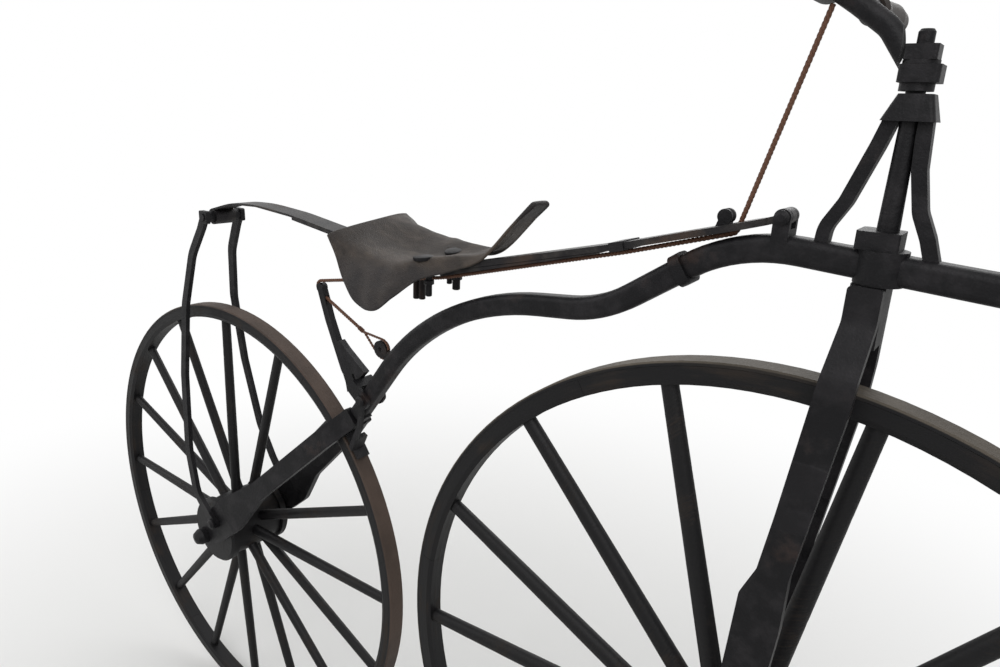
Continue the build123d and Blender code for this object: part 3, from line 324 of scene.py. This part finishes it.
def wood_finish(name, dark, worn, centre=None, hub_radius=0.0, felloe_radius=1.0):
    """Paint over grain; with a wheel's centre the grain is hub (1 - s) + spoke s (1 - f) + felloe f,
    where s and f step up at the hub's radius and at the felloes' inner one."""
    paint = Paint(name)
    grain = paint.noise(150.0, 4.0, at=paint.stretched(1.0, 0.2, 1.0))
    if centre is not None:
        reach, ahead, above, aside = axle_distance(paint, centre)
        turn = paint.node("ShaderNodeMath", {"operation": "ARCTAN2"}, {0: above, 1: ahead})
        spoke_at = paint.joined(turn * reach * 260.0, aside * 260.0, reach * 16.0)
        spoke = paint.noise(1.0, 4.0, at=spoke_at)
        felloe = paint.noise(1.0, 4.0, at=paint.joined(turn * 7.0, aside * 200.0, reach * 200.0))
        on_spoke = reach.ramp(hub_radius, hub_radius + hub_edge)
        on_felloe = reach.ramp(felloe_radius - felloe_edge, felloe_radius)
        grain = grain * (1 - on_spoke) + spoke * on_spoke * (1 - on_felloe) + felloe * on_felloe
    broad = paint.noise(14.0, 4.0)
    wear = (broad * 0.6 + grain * 0.4).ramp(0.5, 0.7)
    colour = paint.mix(wear, dark, worn)
    return paint.finish(Base_Color=colour, Roughness=0.5 + wear * 0.25,
                        Bump=(grain + wear * 0.4, 0.0004), Specular_IOR_Level=dull_shine)


black, brown = (0.0048, 0.0046, 0.0052, 1), (0.019, 0.014, 0.011, 1)
# metres: the hub's radius, and the depth of tyre and felloe with a little to spare
front_hub, front_rim, rear_hub, rear_rim = 0.056, 0.026, 0.060, 0.023
front_wood = wood_finish("front_wheel_wood", black, brown, front_centre, front_hub,
                         wheel_radius("front_tyre") - front_rim)
rear_wood = wood_finish("rear_wheel_wood", black, brown, rear_centre, rear_hub,
                        wheel_radius("rear_tyre") - rear_rim)
turned_wood = wood_finish("turned_wood", (0.014, 0.009, 0.007, 1), (0.044, 0.029, 0.020, 1))
print("wood finishes ready")

# %% [markdown]
# ## Leather and cord
# The saddle is thick harness leather, dried to a dark grey brown and polished where it was sat on.
# The brake cord is a red-brown twisted line.

# %% Leather
paint = Paint("saddle_leather")
hide = paint.node("ShaderNodeTexVoronoi", {"feature": "DISTANCE_TO_EDGE"},
                  {"Vector": paint.place, "Scale": 420.0})
creases = paint.noise(46.0, 6.0, at=paint.stretched(1.0, 2.2, 1.0))
broad = paint.noise(10.0, 4.0)
worn = (broad * 0.6 + creases * 0.4).ramp(0.42, 0.66)
level = paint.split(paint.place)[2]
leather_colour = paint.mix(worn, (0.020, 0.0152, 0.0125, 1), (0.057, 0.043, 0.033, 1))
# painted shade: the drooping wings are painted blue black below the seat, and the upturned nose black above
# these heights in metres, for the shade under it
wing_top, nose_foot, nose_top = 0.004, 0.056, 0.066
wing_painted_shade = (wing_top - level).ramp(0.0, 0.02) * 0.55
nose_painted_shade = level.ramp(nose_foot, nose_top) * 0.8
# painted shade on the drooping wings, with a blue tint of painted reflection
leather_colour = paint.mix(wing_painted_shade, leather_colour, (0.013, 0.0125, 0.015, 1))
# painted shade under the upturned nose
leather_colour = paint.mix(nose_painted_shade, leather_colour, (0.007, 0.006, 0.007, 1))
leather = paint.finish(Base_Color=leather_colour, Roughness=0.58 - worn * 0.12 + creases * 0.1,
                       Specular_IOR_Level=0.3, Bump=(hide.ramp(0.0, 0.25) * 0.4 + creases, 0.0008))
print("leather", leather.name)

# %% Cord fibre
paint = Paint("cord_fibre")
fibre = paint.noise(600.0, 3.0)
cord_colour = paint.mix(fibre, (0.040, 0.016, 0.008, 1), (0.150, 0.063, 0.032, 1))
cord_fibre = paint.finish(Base_Color=cord_colour, Roughness=0.8, Bump=(fibre, 0.0006))
print("cord", cord_fibre.name)

# %% [markdown]
# ## Giving out the finishes
# The CAD pieces keep their shapes; each only gets a material. What a piece is made of can be read
# from its name, so one short function is enough, and a new piece of iron needs no line of its own.

# %% Give each CAD node its finish
finishes = {"iron": iron, "worn_iron": worn_iron, "blade_iron": blade_iron, "leather": leather,
            "cord": cord_fibre, "front_tyre": front_tyre_iron, "rear_tyre": rear_tyre_iron,
            "front_wood": front_wood, "rear_wood": rear_wood, "turned_wood": turned_wood}


def finish_of(node):
    """The finish of a CAD node, by what its name says it is."""
    if node.endswith("_tyre"):
        return node
    if node.endswith(("_felloes", "_hub")):
        return node.split("_")[0] + "_wood"
    if node.startswith("grip") or node in ("pedal_left", "pedal_right"):
        return "turned_wood"
    if node == "saddle":
        return "leather"
    if node in ("main_spring", "spring_clip"):
        return "worn_iron"
    if node.startswith("fork_blade"):
        return "blade_iron"
    return "cord" if node.startswith("brake_cord") else "iron"


for name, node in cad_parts.items():
    node.data.materials.clear()
    node.data.materials.append(finishes[finish_of(name)])
print("finishes given to", len(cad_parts), "nodes")

# %% [markdown]
# ## Meshes from arrays
# Every added piece is one or more shells, and a shell is a grid of points: each row is a closed
# loop, the rows follow each other along the piece, and a polygon closes either end. Whole grids
# are computed at once, in millimetres from the saddle's top, and scaled when the mesh is made.

# %% Shells
MM = 0.001
sideways = np.array((0.0, 1.0, 0.0))


def unit(vectors):
    """Vectors divided by their lengths."""
    return vectors / np.linalg.norm(vectors, axis=-1, keepdims=True)


def turned_out(grid):
    """The same shell with its faces outwards. The sum of a . (b x c) over its triangles is six times
    the volume, and the loops are reversed if it comes out negative."""
    beside = np.roll(grid, -1, axis=1)
    a, b, c, d = grid[:-1], beside[:-1], beside[1:], grid[1:]
    sides = np.sum(a * np.cross(b, c)) + np.sum(a * np.cross(c, d))
    first, last = grid[0], grid[-1]
    far_end = np.sum(last[0] * np.cross(last[1:-1], last[2:]))
    near_end = np.sum(first[0] * np.cross(first[1:-1], first[2:]))
    return grid if sides + far_end - near_end > 0 else grid[:, ::-1]


def make_piece(name, shells, finish, body, angle=40.0):
    """One mesh object of closed shells, where quads join each loop to the next. It rides a body;
    body None leaves it free."""
    points, faces, first = [], [], 0
    for grid in map(turned_out, shells):
        rows, columns = grid.shape[:2]
        index = first + np.arange(rows * columns).reshape(rows, columns)
        beside = np.roll(index, -1, axis=1)
        quads = np.stack([index[:-1], beside[:-1], beside[1:], index[1:]], axis=-1).reshape(-1, 4)
        faces += [*quads.tolist(), index[0, ::-1].tolist(), index[-1].tolist()]
        points.append(grid.reshape(-1, 3) * MM)
        first += rows * columns
    mesh = bpy.data.meshes.new(name)
    mesh.from_pydata(np.concatenate(points).tolist(), [], faces)
    mesh.shade_smooth()
    mesh.set_sharp_from_angle(angle=math.radians(angle))
    mesh.materials.append(finish)
    made = bpy.data.objects.new(name, mesh)
    bpy.context.scene.collection.objects.link(made)
    if body:
        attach(made, body)
    return made


print("closed shells ready, in units of", MM, "m")

# %% Turned pieces and smooth tables


def turned(outline, at, axis, count, start=0.0):
    """A turned shell: at + axis along + radius (u cos a + v sin a) for rows of (along, radius)."""
    along, radius = np.array(outline, float).T
    axis = unit(np.array(axis, float))
    u = unit(np.cross(axis, (0.0, 0.0, 1.0) if abs(axis[2]) < 0.9 else (1.0, 0.0, 0.0)))
    v = np.cross(axis, u)
    angle = start + np.linspace(0, 2 * np.pi, count, endpoint=False)[:, None]
    ring = u * np.cos(angle) + v * np.sin(angle)
    return np.array(at) + axis * along[:, None, None] + ring * radius[:, None, None]


def smooth(table, places):
    """The Catmull-Rom cubic through a table's rows, at places counted in rows:
    (2 p1 + (p2 - p0) t + (2 p0 - 5 p1 + 4 p2 - p3) t^2 + (3 p1 - p0 - 3 p2 + p3) t^3) / 2."""
    table = np.asarray(table, float)
    table = np.concatenate([2 * table[:1] - table[1:2], table, 2 * table[-1:] - table[-2:-1]])
    index = np.clip(places.astype(int), 0, len(table) - 4)
    t = (places - index).reshape((-1,) + (1,) * (table.ndim - 1))
    p0, p1, p2, p3 = (table[index + k] for k in range(4))
    return (2 * p1 + (p2 - p0) * t + (2 * p0 - 5 * p1 + 4 * p2 - p3) * t**2
            + (3 * p1 - p0 - 3 * p2 + p3) * t**3) / 2


print("turned pieces and smooth tables ready")

# %% [markdown]
# ## The saddle
# The frame carries the saddle as a plain plate. The leather repeats its sections, let down or drawn
# in a few millimetres where the photograph's outline asks for it, with a thick rounded edge, a
# rolled tip, and creases where the wings bend.

# %% Saddle surface
# ahead of the seat, half width, height above the seat, drop of the edge, lean, rise of the shoulders
sections = np.array([
    (-82.0, 68.0, 28.6, 3.0, 0.11, 0.0),
    (-65.5, 72.0, 19.9, 11.5, 0.17, 2.0),
    (-49.0, 76.0, 12.4, 31.5, 0.17, 7.0),
    (-25.0, 78.0, 3.9, 45.0, 0.19, 11.0),
    (6.0, 78.0, 0.1, 44.0, 0.2, 10.0),
    (29.0, 65.0, 1.1, 28.0, 0.2, 10.0),
    (50.0, 47.0, 3.5, 13.5, 0.2, 9.0),
    (80.0, 33.0, 9.5, 10.5, 0.2, 6.0),
    (113.0, 23.0, 17.5, 8.0, 0.15, 1.0),
    (134.0, 20.0, 28.5, 3.0, 0.1, 0.0),
    (161.0, 19.5, 57.0, 2.0, 0.05, 0.0),
    (184.0, 15.0, 82.0, 1.5, 0.0, 0.0),
])
# share of the half width, share of the drop, share of the rise
arch = np.array([(-1.0, 1.0, 0.0), (-0.9, 0.55, 0.5), (-0.68, 0.14, 1.0), (0.0, 0.0, 0.0),
                 (0.68, 0.14, 1.0), (0.9, 0.55, 0.5), (1.0, 1.0, 0.0)])


def saddle_skin(row_at, across_at):
    """Points (ahead, aside, height) of the top face for places in the two tables, where aside is
    share x half width and height is height + lean x aside - drop x fall + rise x up."""
    ahead, half, height, drop, lean, rise = smooth(sections, row_at).T[..., None]
    share, fall, up = smooth(arch, across_at).T
    aside = share * half
    top = height + lean * aside - drop * fall + rise * up
    return np.stack([np.broadcast_to(ahead, aside.shape), aside, top], axis=-1)


def skin_normals(skin):
    """Unit normals of a grid of points, upwards: the cross product of its two gradients."""
    normal = unit(np.cross(np.gradient(skin, axis=0), np.gradient(skin, axis=1)))
    return normal * np.sign(np.mean(normal[..., 2]))


rows, columns = 120, 90
row_at = np.linspace(0, len(sections) - 1, rows)
across_at = np.linspace(0, len(arch) - 1, columns)
skin = saddle_skin(row_at, across_at)
normal = skin_normals(skin)
ahead, aside = skin[..., 0], skin[..., 1]
# millimetres; the wings start at this share of the half width
crease_high, dimple_high, wing_from = 0.7, 0.35, 0.62
wing = np.clip(np.abs(smooth(arch, across_at)[:, 0]) - wing_from, 0, 1) / (1 - wing_from)
crease = crease_high * np.sin(ahead * 0.21 + aside * 0.05) * wing * np.exp(-((ahead + 5) / 45) ** 2)
dimples = dimple_high * np.sin(ahead * 0.09 + 1.3) * np.sin(aside * 0.11 + ahead * 0.03)
# the hide is thicker where the tip is rolled and where the back edge is folded
hide_thick, tip_extra, tip_from, back_extra, back_from = 3.6, 2.6, 168, 0.8, -66
thick = (hide_thick + tip_extra * np.clip((ahead - tip_from) / 15, 0, 1)
         + back_extra * np.clip((back_from - ahead) / 12, 0, 1))
skin = skin + normal * (crease + dimples)[..., None]
under = skin - normal * thick[..., None]
print("thickness", round(float(thick.min()), 2), "to", round(float(thick.max()), 2))

# %% Saddle shell
# the loop of one row: the top from right to left, round the left edge, the underside back and
# round the right edge, with this many points to each edge
edge = 6
# millimetres that the ends round out by, and the share of the loop that the last row keeps
back_reach, front_reach, thinnest = 2.2, 3.1, 0.02
bulge = np.linspace(0, np.pi, edge + 2)[1:-1]


def round_edge(top, low, outwards):
    """Half a circle of points from the top face to the underside: middle + half cos b + out sin b."""
    centre, half = (top + low) / 2, (top - low) / 2
    size = np.linalg.norm(half, axis=-1, keepdims=True)
    return np.stack([centre + half * np.cos(b) + outwards * size * np.sin(b) for b in bulge], axis=1)


left = round_edge(skin[:, -1], under[:, -1], unit(skin[:, -1] - skin[:, -2]))
right = round_edge(under[:, 0], skin[:, 0], unit(skin[:, 0] - skin[:, 1]))
loops = np.concatenate([skin, left, under[:, ::-1], right], axis=1)


def closed_end(loop, inner, reach):
    """Rows that round off an end: middle line + (loop - middle line) cos a + away reach sin a."""
    across = np.arange(columns)
    matching = np.concatenate([across, np.full(edge, columns - 1), across[::-1], np.zeros(edge, int)])
    middle = ((loop[:columns] + loop[columns + edge:2 * columns + edge][::-1]) / 2)[matching]
    away = unit(np.mean(loop - inner, axis=0))
    rows_out = []
    for angle in np.linspace(0, np.pi / 2, 6)[1:]:
        drawn_in = max(np.cos(angle), thinnest)
        rows_out.append(middle + (loop - middle) * drawn_in + away * reach * np.sin(angle))
    return np.stack(rows_out)


back_end = closed_end(loops[0], loops[1], back_reach)[::-1]
front_end = closed_end(loops[-1], loops[-2], front_reach)
grid = np.concatenate([back_end, loops, front_end])
saddle_leather = make_piece("saddle_leather", [grid], leather, "frame", 60.0)
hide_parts("saddle")
print("saddle", grid.shape)

# %% [markdown]
# ## The saddle clips
# Two flat plates under the spring carry the bolts that hold the leather down. Only the front pair
# shows its flat round heads on the leather, each a little sunk and lying nearly with the surface.

# %% Clip sizes
# ahead of the seat, height of the plate's top, slope in degrees
plates = [(-18.0, -20.7, -11.7), (45.0, -17.4, 14.5)]
# ahead of the seat, aside, foot, radius
legs = [(-18.0, 22.0, -68.0, 4.4), (-7.5, 22.0, -67.0, 4.4), (-18.0, -22.0, -44.0, 3.6),
        (45.0, -22.0, -45.5, 4.0), (39.5, 22.0, -38.0, 3.5), (51.0, 22.0, -43.5, 5.0)]
# ahead of the seat, aside
heads = [(43.0, -31.0), (58.0, 9.0)]
# (along, radius) of a head, which is sunk 3 mm
disc = [(-3.0, 12.0), (0.3, 12.6), (1.3, 12.0), (1.9, 9.5), (2.1, 0.4)]
plate_long, plate_half, plate_thick, bevel = 8.0, 29.0, 3.2, 0.6
nut_foot, nut_high, nut_over, nut_bevel, nut_turn = -31.0, 6.0, 2.4, 0.7, 0.3
leg_sunk, leg_bevel = 2.0, 0.8
# the heads lean only partly with the leather: this much upward is added to its normal
upright = np.array((0.0, 0.0, 1.6))
print("legs", len(legs), "heads", len(heads))

# %% Clip shells


def surface_at(ahead_of, aside_of):
    """The leather's top and its normal at the grid point with the least (x - ahead)^2 + (y - aside)^2."""
    distance = (skin[..., 0] - ahead_of) ** 2 + (skin[..., 1] - aside_of) ** 2
    nearest = np.unravel_index(np.argmin(distance), distance.shape)
    return skin[nearest], normal[nearest]


clip_shells = []
for ahead_of, top, slope in plates:
    turn = math.radians(slope)
    run = np.array((math.cos(turn), 0, math.sin(turn)))
    rise = np.array((-math.sin(turn), 0, math.cos(turn)))
    rings = []
    for down, inset in ((0.0, bevel), (bevel, 0.0), (plate_thick - bevel, 0.0), (plate_thick, bevel)):
        along = (plate_long - inset) * np.array((1, -1, -1, 1))
        across = (plate_half - inset) * np.array((1, 1, -1, -1))
        corners = np.array((ahead_of, 0, top)) + along[:, None] * run - down * rise
        rings.append(corners + across[:, None] * sideways)
    clip_shells.append(np.stack(rings))
for ahead_of, aside_of, foot, radius in legs:
    top = surface_at(ahead_of, aside_of)[0][2] - leg_sunk
    rod = [(0.0, radius - leg_bevel), (leg_bevel, radius), (top - foot, radius)]
    wide, narrow = radius + nut_over, radius + nut_over - leg_bevel
    nut = [(0.0, narrow), (nut_bevel, wide), (nut_high - nut_bevel, wide), (nut_high, narrow)]
    clip_shells.append(turned(rod, (ahead_of, aside_of, foot), (0, 0, 1), 20))
    clip_shells.append(turned(nut, (ahead_of, aside_of, nut_foot), (0, 0, 1), 6, nut_turn))
for ahead_of, aside_of in heads:
    at, out = surface_at(ahead_of, aside_of)
    clip_shells.append(turned(disc, at, out + upright, 40))
clip_iron = make_piece("clip_iron", clip_shells, iron, "frame")
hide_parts("saddle_clips")
print("clip shells", len(clip_shells))

# %% [markdown]
# ## The short leaf
# A thin second leaf lies against the underside of the main spring, from the saddle's clip to just
# short of the spring's own clip. It thins towards its front end, where the cord comes close.

# %% Short leaf
# ahead of the seat, thickness
stations = [(55.0, 4.4), (57.0, 5.2), (112.0, 4.4), (150.0, 3.8), (210.0, 2.8), (266.0, 1.8), (271.0, 0.8)]
# two points of the main leaf's middle line (ahead of the seat, above it), and its half thickness
leaf_low, leaf_far, half_leaf = (10.0, -23.0), (291.95, 49.97), 3.2
half_wide, edge_cut, hair_gap = 16.0, 0.35, 0.15
leaf_turn = math.atan2(leaf_far[1] - leaf_low[1], leaf_far[0] - leaf_low[0])
down = np.array((math.sin(leaf_turn), 0.0, -math.cos(leaf_turn)))
station, thickness = np.array(stations).T[..., None]
middle_line = leaf_low[1] + (station - leaf_low[0]) * math.tan(leaf_turn)
leaf_at = np.concatenate([station, 0 * station, middle_line], axis=1) + down * (half_leaf + hair_gap)
# the loop of a station: eight corners of a bar with cut edges
side_of = np.array((1, 1, -1, -1, -1, -1, 1, 1))
leaf_aside = (half_wide - edge_cut * np.array((0, 1, 1, 0, 0, 1, 1, 0))) * side_of
none = 0 * thickness
depth = np.concatenate([none + edge_cut, none, none, none + edge_cut,
                        thickness - edge_cut, thickness, thickness, thickness - edge_cut], axis=1)
leaf_grid = leaf_at[:, None] + depth[..., None] * down + leaf_aside[:, None] * sideways
make_piece("short_leaf", [leaf_grid], worn_iron, "frame")
print("short leaf", leaf_grid.shape)

# %% [markdown]
# ## The tyre seats
# The hoops sit on the felloes with a hair of play, which old paint and rust have filled. A thin
# ring between iron and wood closes it, so that no light shows through.

# %% Tyre seats
# the ring reaches this far in and out from the felloes' outside, and its ends all but meet
tyre_thick, seat_in, seat_out, seat_half, last_degree = 5.0, 0.7, 1.0, 12.5, 359.9
turn = np.radians(np.linspace(0.0, last_degree, 181))[:, None]
for wheel, centre in (("front", front_centre), ("rear", rear_centre)):
    seat = wheel_radius(f"{wheel}_tyre") / MM - tyre_thick
    radius = np.array((seat - seat_in, seat + seat_out, seat + seat_out, seat - seat_in))
    seat_aside = seat_half * np.array((-1, -1, 1, 1)) + 0 * turn
    ring = np.stack([radius * np.cos(turn), seat_aside, radius * np.sin(turn)], axis=-1)
    ring = ring + np.array(centre) / MM
    make_piece(f"{wheel}_tyre_seat", [ring], iron, f"{wheel}_wheel")
print("tyre seats", ring.shape)

# %% [markdown]
# ## The brake cord
# Three strands wind about the cord's line: each follows `line + r (n cos f + s sin f)` with
# `f = 2 pi (length / pitch + k / 3)`, where s points sideways and n is square to it and the line.
# At the eye the strands part and go round its disc on both sides.

# %% Cord lines
# corners of the line (ahead of the seat, above it) and the radius of the bend at each inner one
rear_corners = [(410.5, 101.19), (403.75, 76.63), (291.95, 42.27), (48.0, -25.5), (-192.44, -70.64),
                (-194.01, -84.25), (-97.5, -126.8)]
rear_bends = [6.0, 300.0, 300.0, 9.3, 9.3]
front_corners = [(410.5, 101.19), (433.0, 183.3), (455.65, 265.5)]
front_bends = [4000.0]
# millimetres between the points of a line
line_step = 1.3


def lengths_along(line):
    """The length from the first point of a line to each of its points: the sum of the steps before it."""
    return np.concatenate([[0], np.cumsum(np.linalg.norm(np.diff(line, axis=0), axis=1))])


def bent_line(corners, bends):
    """Points a step apart along straight runs joined by arcs: each arc touches both runs, so its
    centre lies radius / cos(half the turn) from the corner on the line that halves the angle."""
    corners = np.array(corners, float)
    line = [corners[0]]
    for corner, before, after, radius in zip(corners[1:-1], corners, corners[2:], bends):
        a, b = unit(corner - before), unit(after - corner)
        half_turn = math.acos(np.clip(a @ b, -1, 1)) / 2
        centre = corner + unit(b - a) * radius / math.cos(half_turn)
        start = corner - a * radius * math.tan(half_turn)
        end = corner + b * radius * math.tan(half_turn)
        for share in np.linspace(0, 1, 13):
            line.append(centre + unit((start - centre) * (1 - share) + (end - centre) * share) * radius)
    line = np.array([*line, corners[-1]])
    length = lengths_along(line)
    places = np.linspace(0, length[-1], max(4, round(length[-1] / line_step)))
    ahead, above = (np.interp(places, length, line[:, k]) for k in (0, 1))
    return np.stack([ahead, np.zeros_like(ahead), above], axis=-1)


rear_line = bent_line(rear_corners, rear_bends)
front_line = bent_line(front_corners, front_bends)
print("cord runs", [round(float(lengths_along(line)[-1]), 1) for line in (rear_line, front_line)], "mm")

# %% Strands
around, squeeze = 8, 1.25


def twisted(line, radius, pitch, strands=3):
    """Round strands on helices about a line in an upright plane. Strands that just touch within the
    radius are radius / (1 + 1 / sin(pi / strands)) thick; squeeze thickens them, so that they press
    together."""
    along = unit(np.gradient(line, axis=0))
    length = lengths_along(line)
    out = np.cross(along, sideways)
    thick = radius / (1 + 1 / math.sin(math.pi / strands)) * squeeze
    ring = np.linspace(0, 2 * np.pi, around, endpoint=False)[:, None]
    shells = []
    for k in range(strands):
        turn = (2 * np.pi * (length / pitch + k / strands))[:, None]
        middle = line + (radius - thick) * (out * np.cos(turn) + sideways * np.sin(turn))
        heading = unit(np.gradient(middle, axis=0))
        u = unit(np.cross(heading, sideways))
        v = np.cross(heading, u)
        shells.append(middle[:, None] + thick * (u[:, None] * np.cos(ring) + v[:, None] * np.sin(ring)))
    return shells


print("strands of", around, "sides")

# %% Branches at the eye
# the eye's middle (ahead of the seat, above it), its disc, and the way that the cord comes to it
eye, disc_radius, eye_heading = np.array((-60.92, -143.48)), 12.0, math.radians(156.0)
# the branches: their line's distance from the disc, radius, pitch, and distance aside
branch_out, branch_thick, branch_pitch, branch_aside = 2.1, 1.9, 9.0, 0.9
branch_radius = disc_radius + branch_out
split_at = np.array(rear_corners[-1])
# a branch runs straight to its circle round the eye: cos(part_turn) = radius / distance to the split
part_turn = math.acos(branch_radius / float(np.linalg.norm(split_at - eye)))
branches = []
for hand, last in ((-1, math.radians(8.0)), (1, math.radians(282.0))):
    first = eye_heading + hand * part_turn
    bend = np.linspace(first, last, 30)
    arc = eye + branch_radius * np.stack([np.cos(bend), np.sin(bend)], axis=-1)
    way = np.concatenate([split_at + (arc[0] - split_at) * np.linspace(0, 1, 24)[:-1, None], arc])
    way = np.stack([way[:, 0], np.full(len(way), branch_aside * hand), way[:, 1]], axis=-1)
    branches += twisted(way, branch_thick, branch_pitch, 2)
print("branch strands", len(branches))

# %% Cord pieces
cord_radius, cord_pitch = 2.5, 13.0
# the whipping: (along, radius) of one turn of thread, and how far before the split the turns lie
towards_eye = np.array((0.914, 0.0, -0.406))
thread = [(-0.55, 2.3), (-0.3, 2.95), (0.0, 3.15), (0.3, 2.95), (0.55, 2.3)]
thread_turns, first_turn, turn_step = 8, 1.5, 1.1
whipping = []
for k in range(thread_turns):
    at = np.array((split_at[0], 0.0, split_at[1])) - towards_eye * (first_turn + turn_step * k)
    whipping.append(turned(thread, at, towards_eye, 16))

rear_shells = [*twisted(rear_line, cord_radius, cord_pitch), *branches, *whipping]
rear_cord = make_piece("rear_cord_strands", rear_shells, cord_fibre, "frame", 80.0)
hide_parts("brake_cord_rear")
front_shells = twisted(front_line, cord_radius, cord_pitch)
front_cord = make_piece("front_cord_strands", front_shells, cord_fibre, None, 80.0)
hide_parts("brake_cord_front")
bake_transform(front_cord)
print("cord pieces", rear_cord.name, front_cord.name)

# %% [markdown]
# ## Floor, lamps and world
# A pale floor, a large soft lamp ahead on the camera's side, a weaker one behind and a third on the
# far side keep the black iron readable. The world is white where the camera and reflections look,
# and dimmer where it lights. For the camera the floor fades to the same white with distance, so no
# horizon cuts the picture.

# %% Floor
floor_mesh = bpy.data.meshes.new("floor")
# metres: half the floor's side, its drop below the tyres, and where it starts and ends to fade
floor_half, floor_drop, fade_from, fade_to = 40.0, 0.0005, 1.0, 2.3
square = np.array([(-1, -1), (1, -1), (1, 1), (-1, 1)]) * floor_half
corners = [(x, y, ground - floor_drop) for x, y in square.tolist()]
floor_mesh.from_pydata(corners, [], [(0, 1, 2, 3)])
floor = bpy.data.objects.new("floor", floor_mesh)
bpy.context.scene.collection.objects.link(floor)
paint = Paint("pale_floor")
floor_mesh.materials.append(paint.finish(Base_Color=(0.72, 0.72, 0.71, 1), Roughness=0.95))
from_middle = paint.node("ShaderNodeVectorMath", {"operation": "LENGTH"}, {0: paint.place}, "Value")
ray = paint.node("ShaderNodeLightPath", out="Is Camera Ray")
white = paint.node("ShaderNodeEmission", None, {"Color": (1, 1, 1, 1), "Strength": 1.0})
fade = paint.node("ShaderNodeMixShader", None, {0: from_middle.ramp(fade_from, fade_to) * ray, 2: white})
paint.tree.links.new(paint.shader.outputs[0], fade.socket.node.inputs[1])
paint.tree.links.new(fade.socket, paint.tree.nodes["Material Output"].inputs["Surface"])
print("floor at", round(ground - floor_drop, 4))

# %% Lamps
aim = (0.0, 0.0, ground + 0.6)


def soft_lamp(name, place, size, power):
    """A square area lamp at a place, turned towards the machine."""
    data = bpy.data.lights.new(name, "AREA")
    data.size, data.energy = size, power
    lamp = bpy.data.objects.new(name, data)
    bpy.context.scene.collection.objects.link(lamp)
    lamp.location = place
    lamp.rotation_euler = (Vector(aim) - Vector(place)).to_track_quat("-Z", "Y").to_euler()


# metres and watts
soft_lamp("key", (1.8, -2.4, 2.2), 2.6, 72.0)
soft_lamp("fill", (-2.6, -1.6, 1.2), 2.4, 30.0)
soft_lamp("rim", (-0.6, 2.6, 1.8), 2.6, 45.0)
print("lamps ready")

# %% World
world = bpy.data.worlds.new("studio")
bpy.context.scene.world = world
world.use_nodes = True
tree = world.node_tree
path = tree.nodes.new("ShaderNodeLightPath")


def larger(first, second):
    """The larger of two outputs of the world's nodes."""
    made = tree.nodes.new("ShaderNodeMath")
    made.operation = "MAXIMUM"
    tree.links.new(first, made.inputs[0])
    tree.links.new(second, made.inputs[1])
    return made.outputs[0]


mirrored = larger(path.outputs["Is Glossy Ray"], path.outputs["Is Transmission Ray"])
lighting, seen = 0.55, 1.0
brightness = tree.nodes.new("ShaderNodeMapRange")
brightness.inputs["To Min"].default_value = lighting
brightness.inputs["To Max"].default_value = seen
tree.links.new(larger(path.outputs["Is Camera Ray"], mirrored), brightness.inputs["Value"])
background = tree.nodes["Background"]
tree.links.new(brightness.outputs[0], background.inputs["Strength"])
background.inputs["Color"].default_value = (1, 1, 1, 1)
bpy.context.scene.view_settings.view_transform = "Standard"
print("world ready")
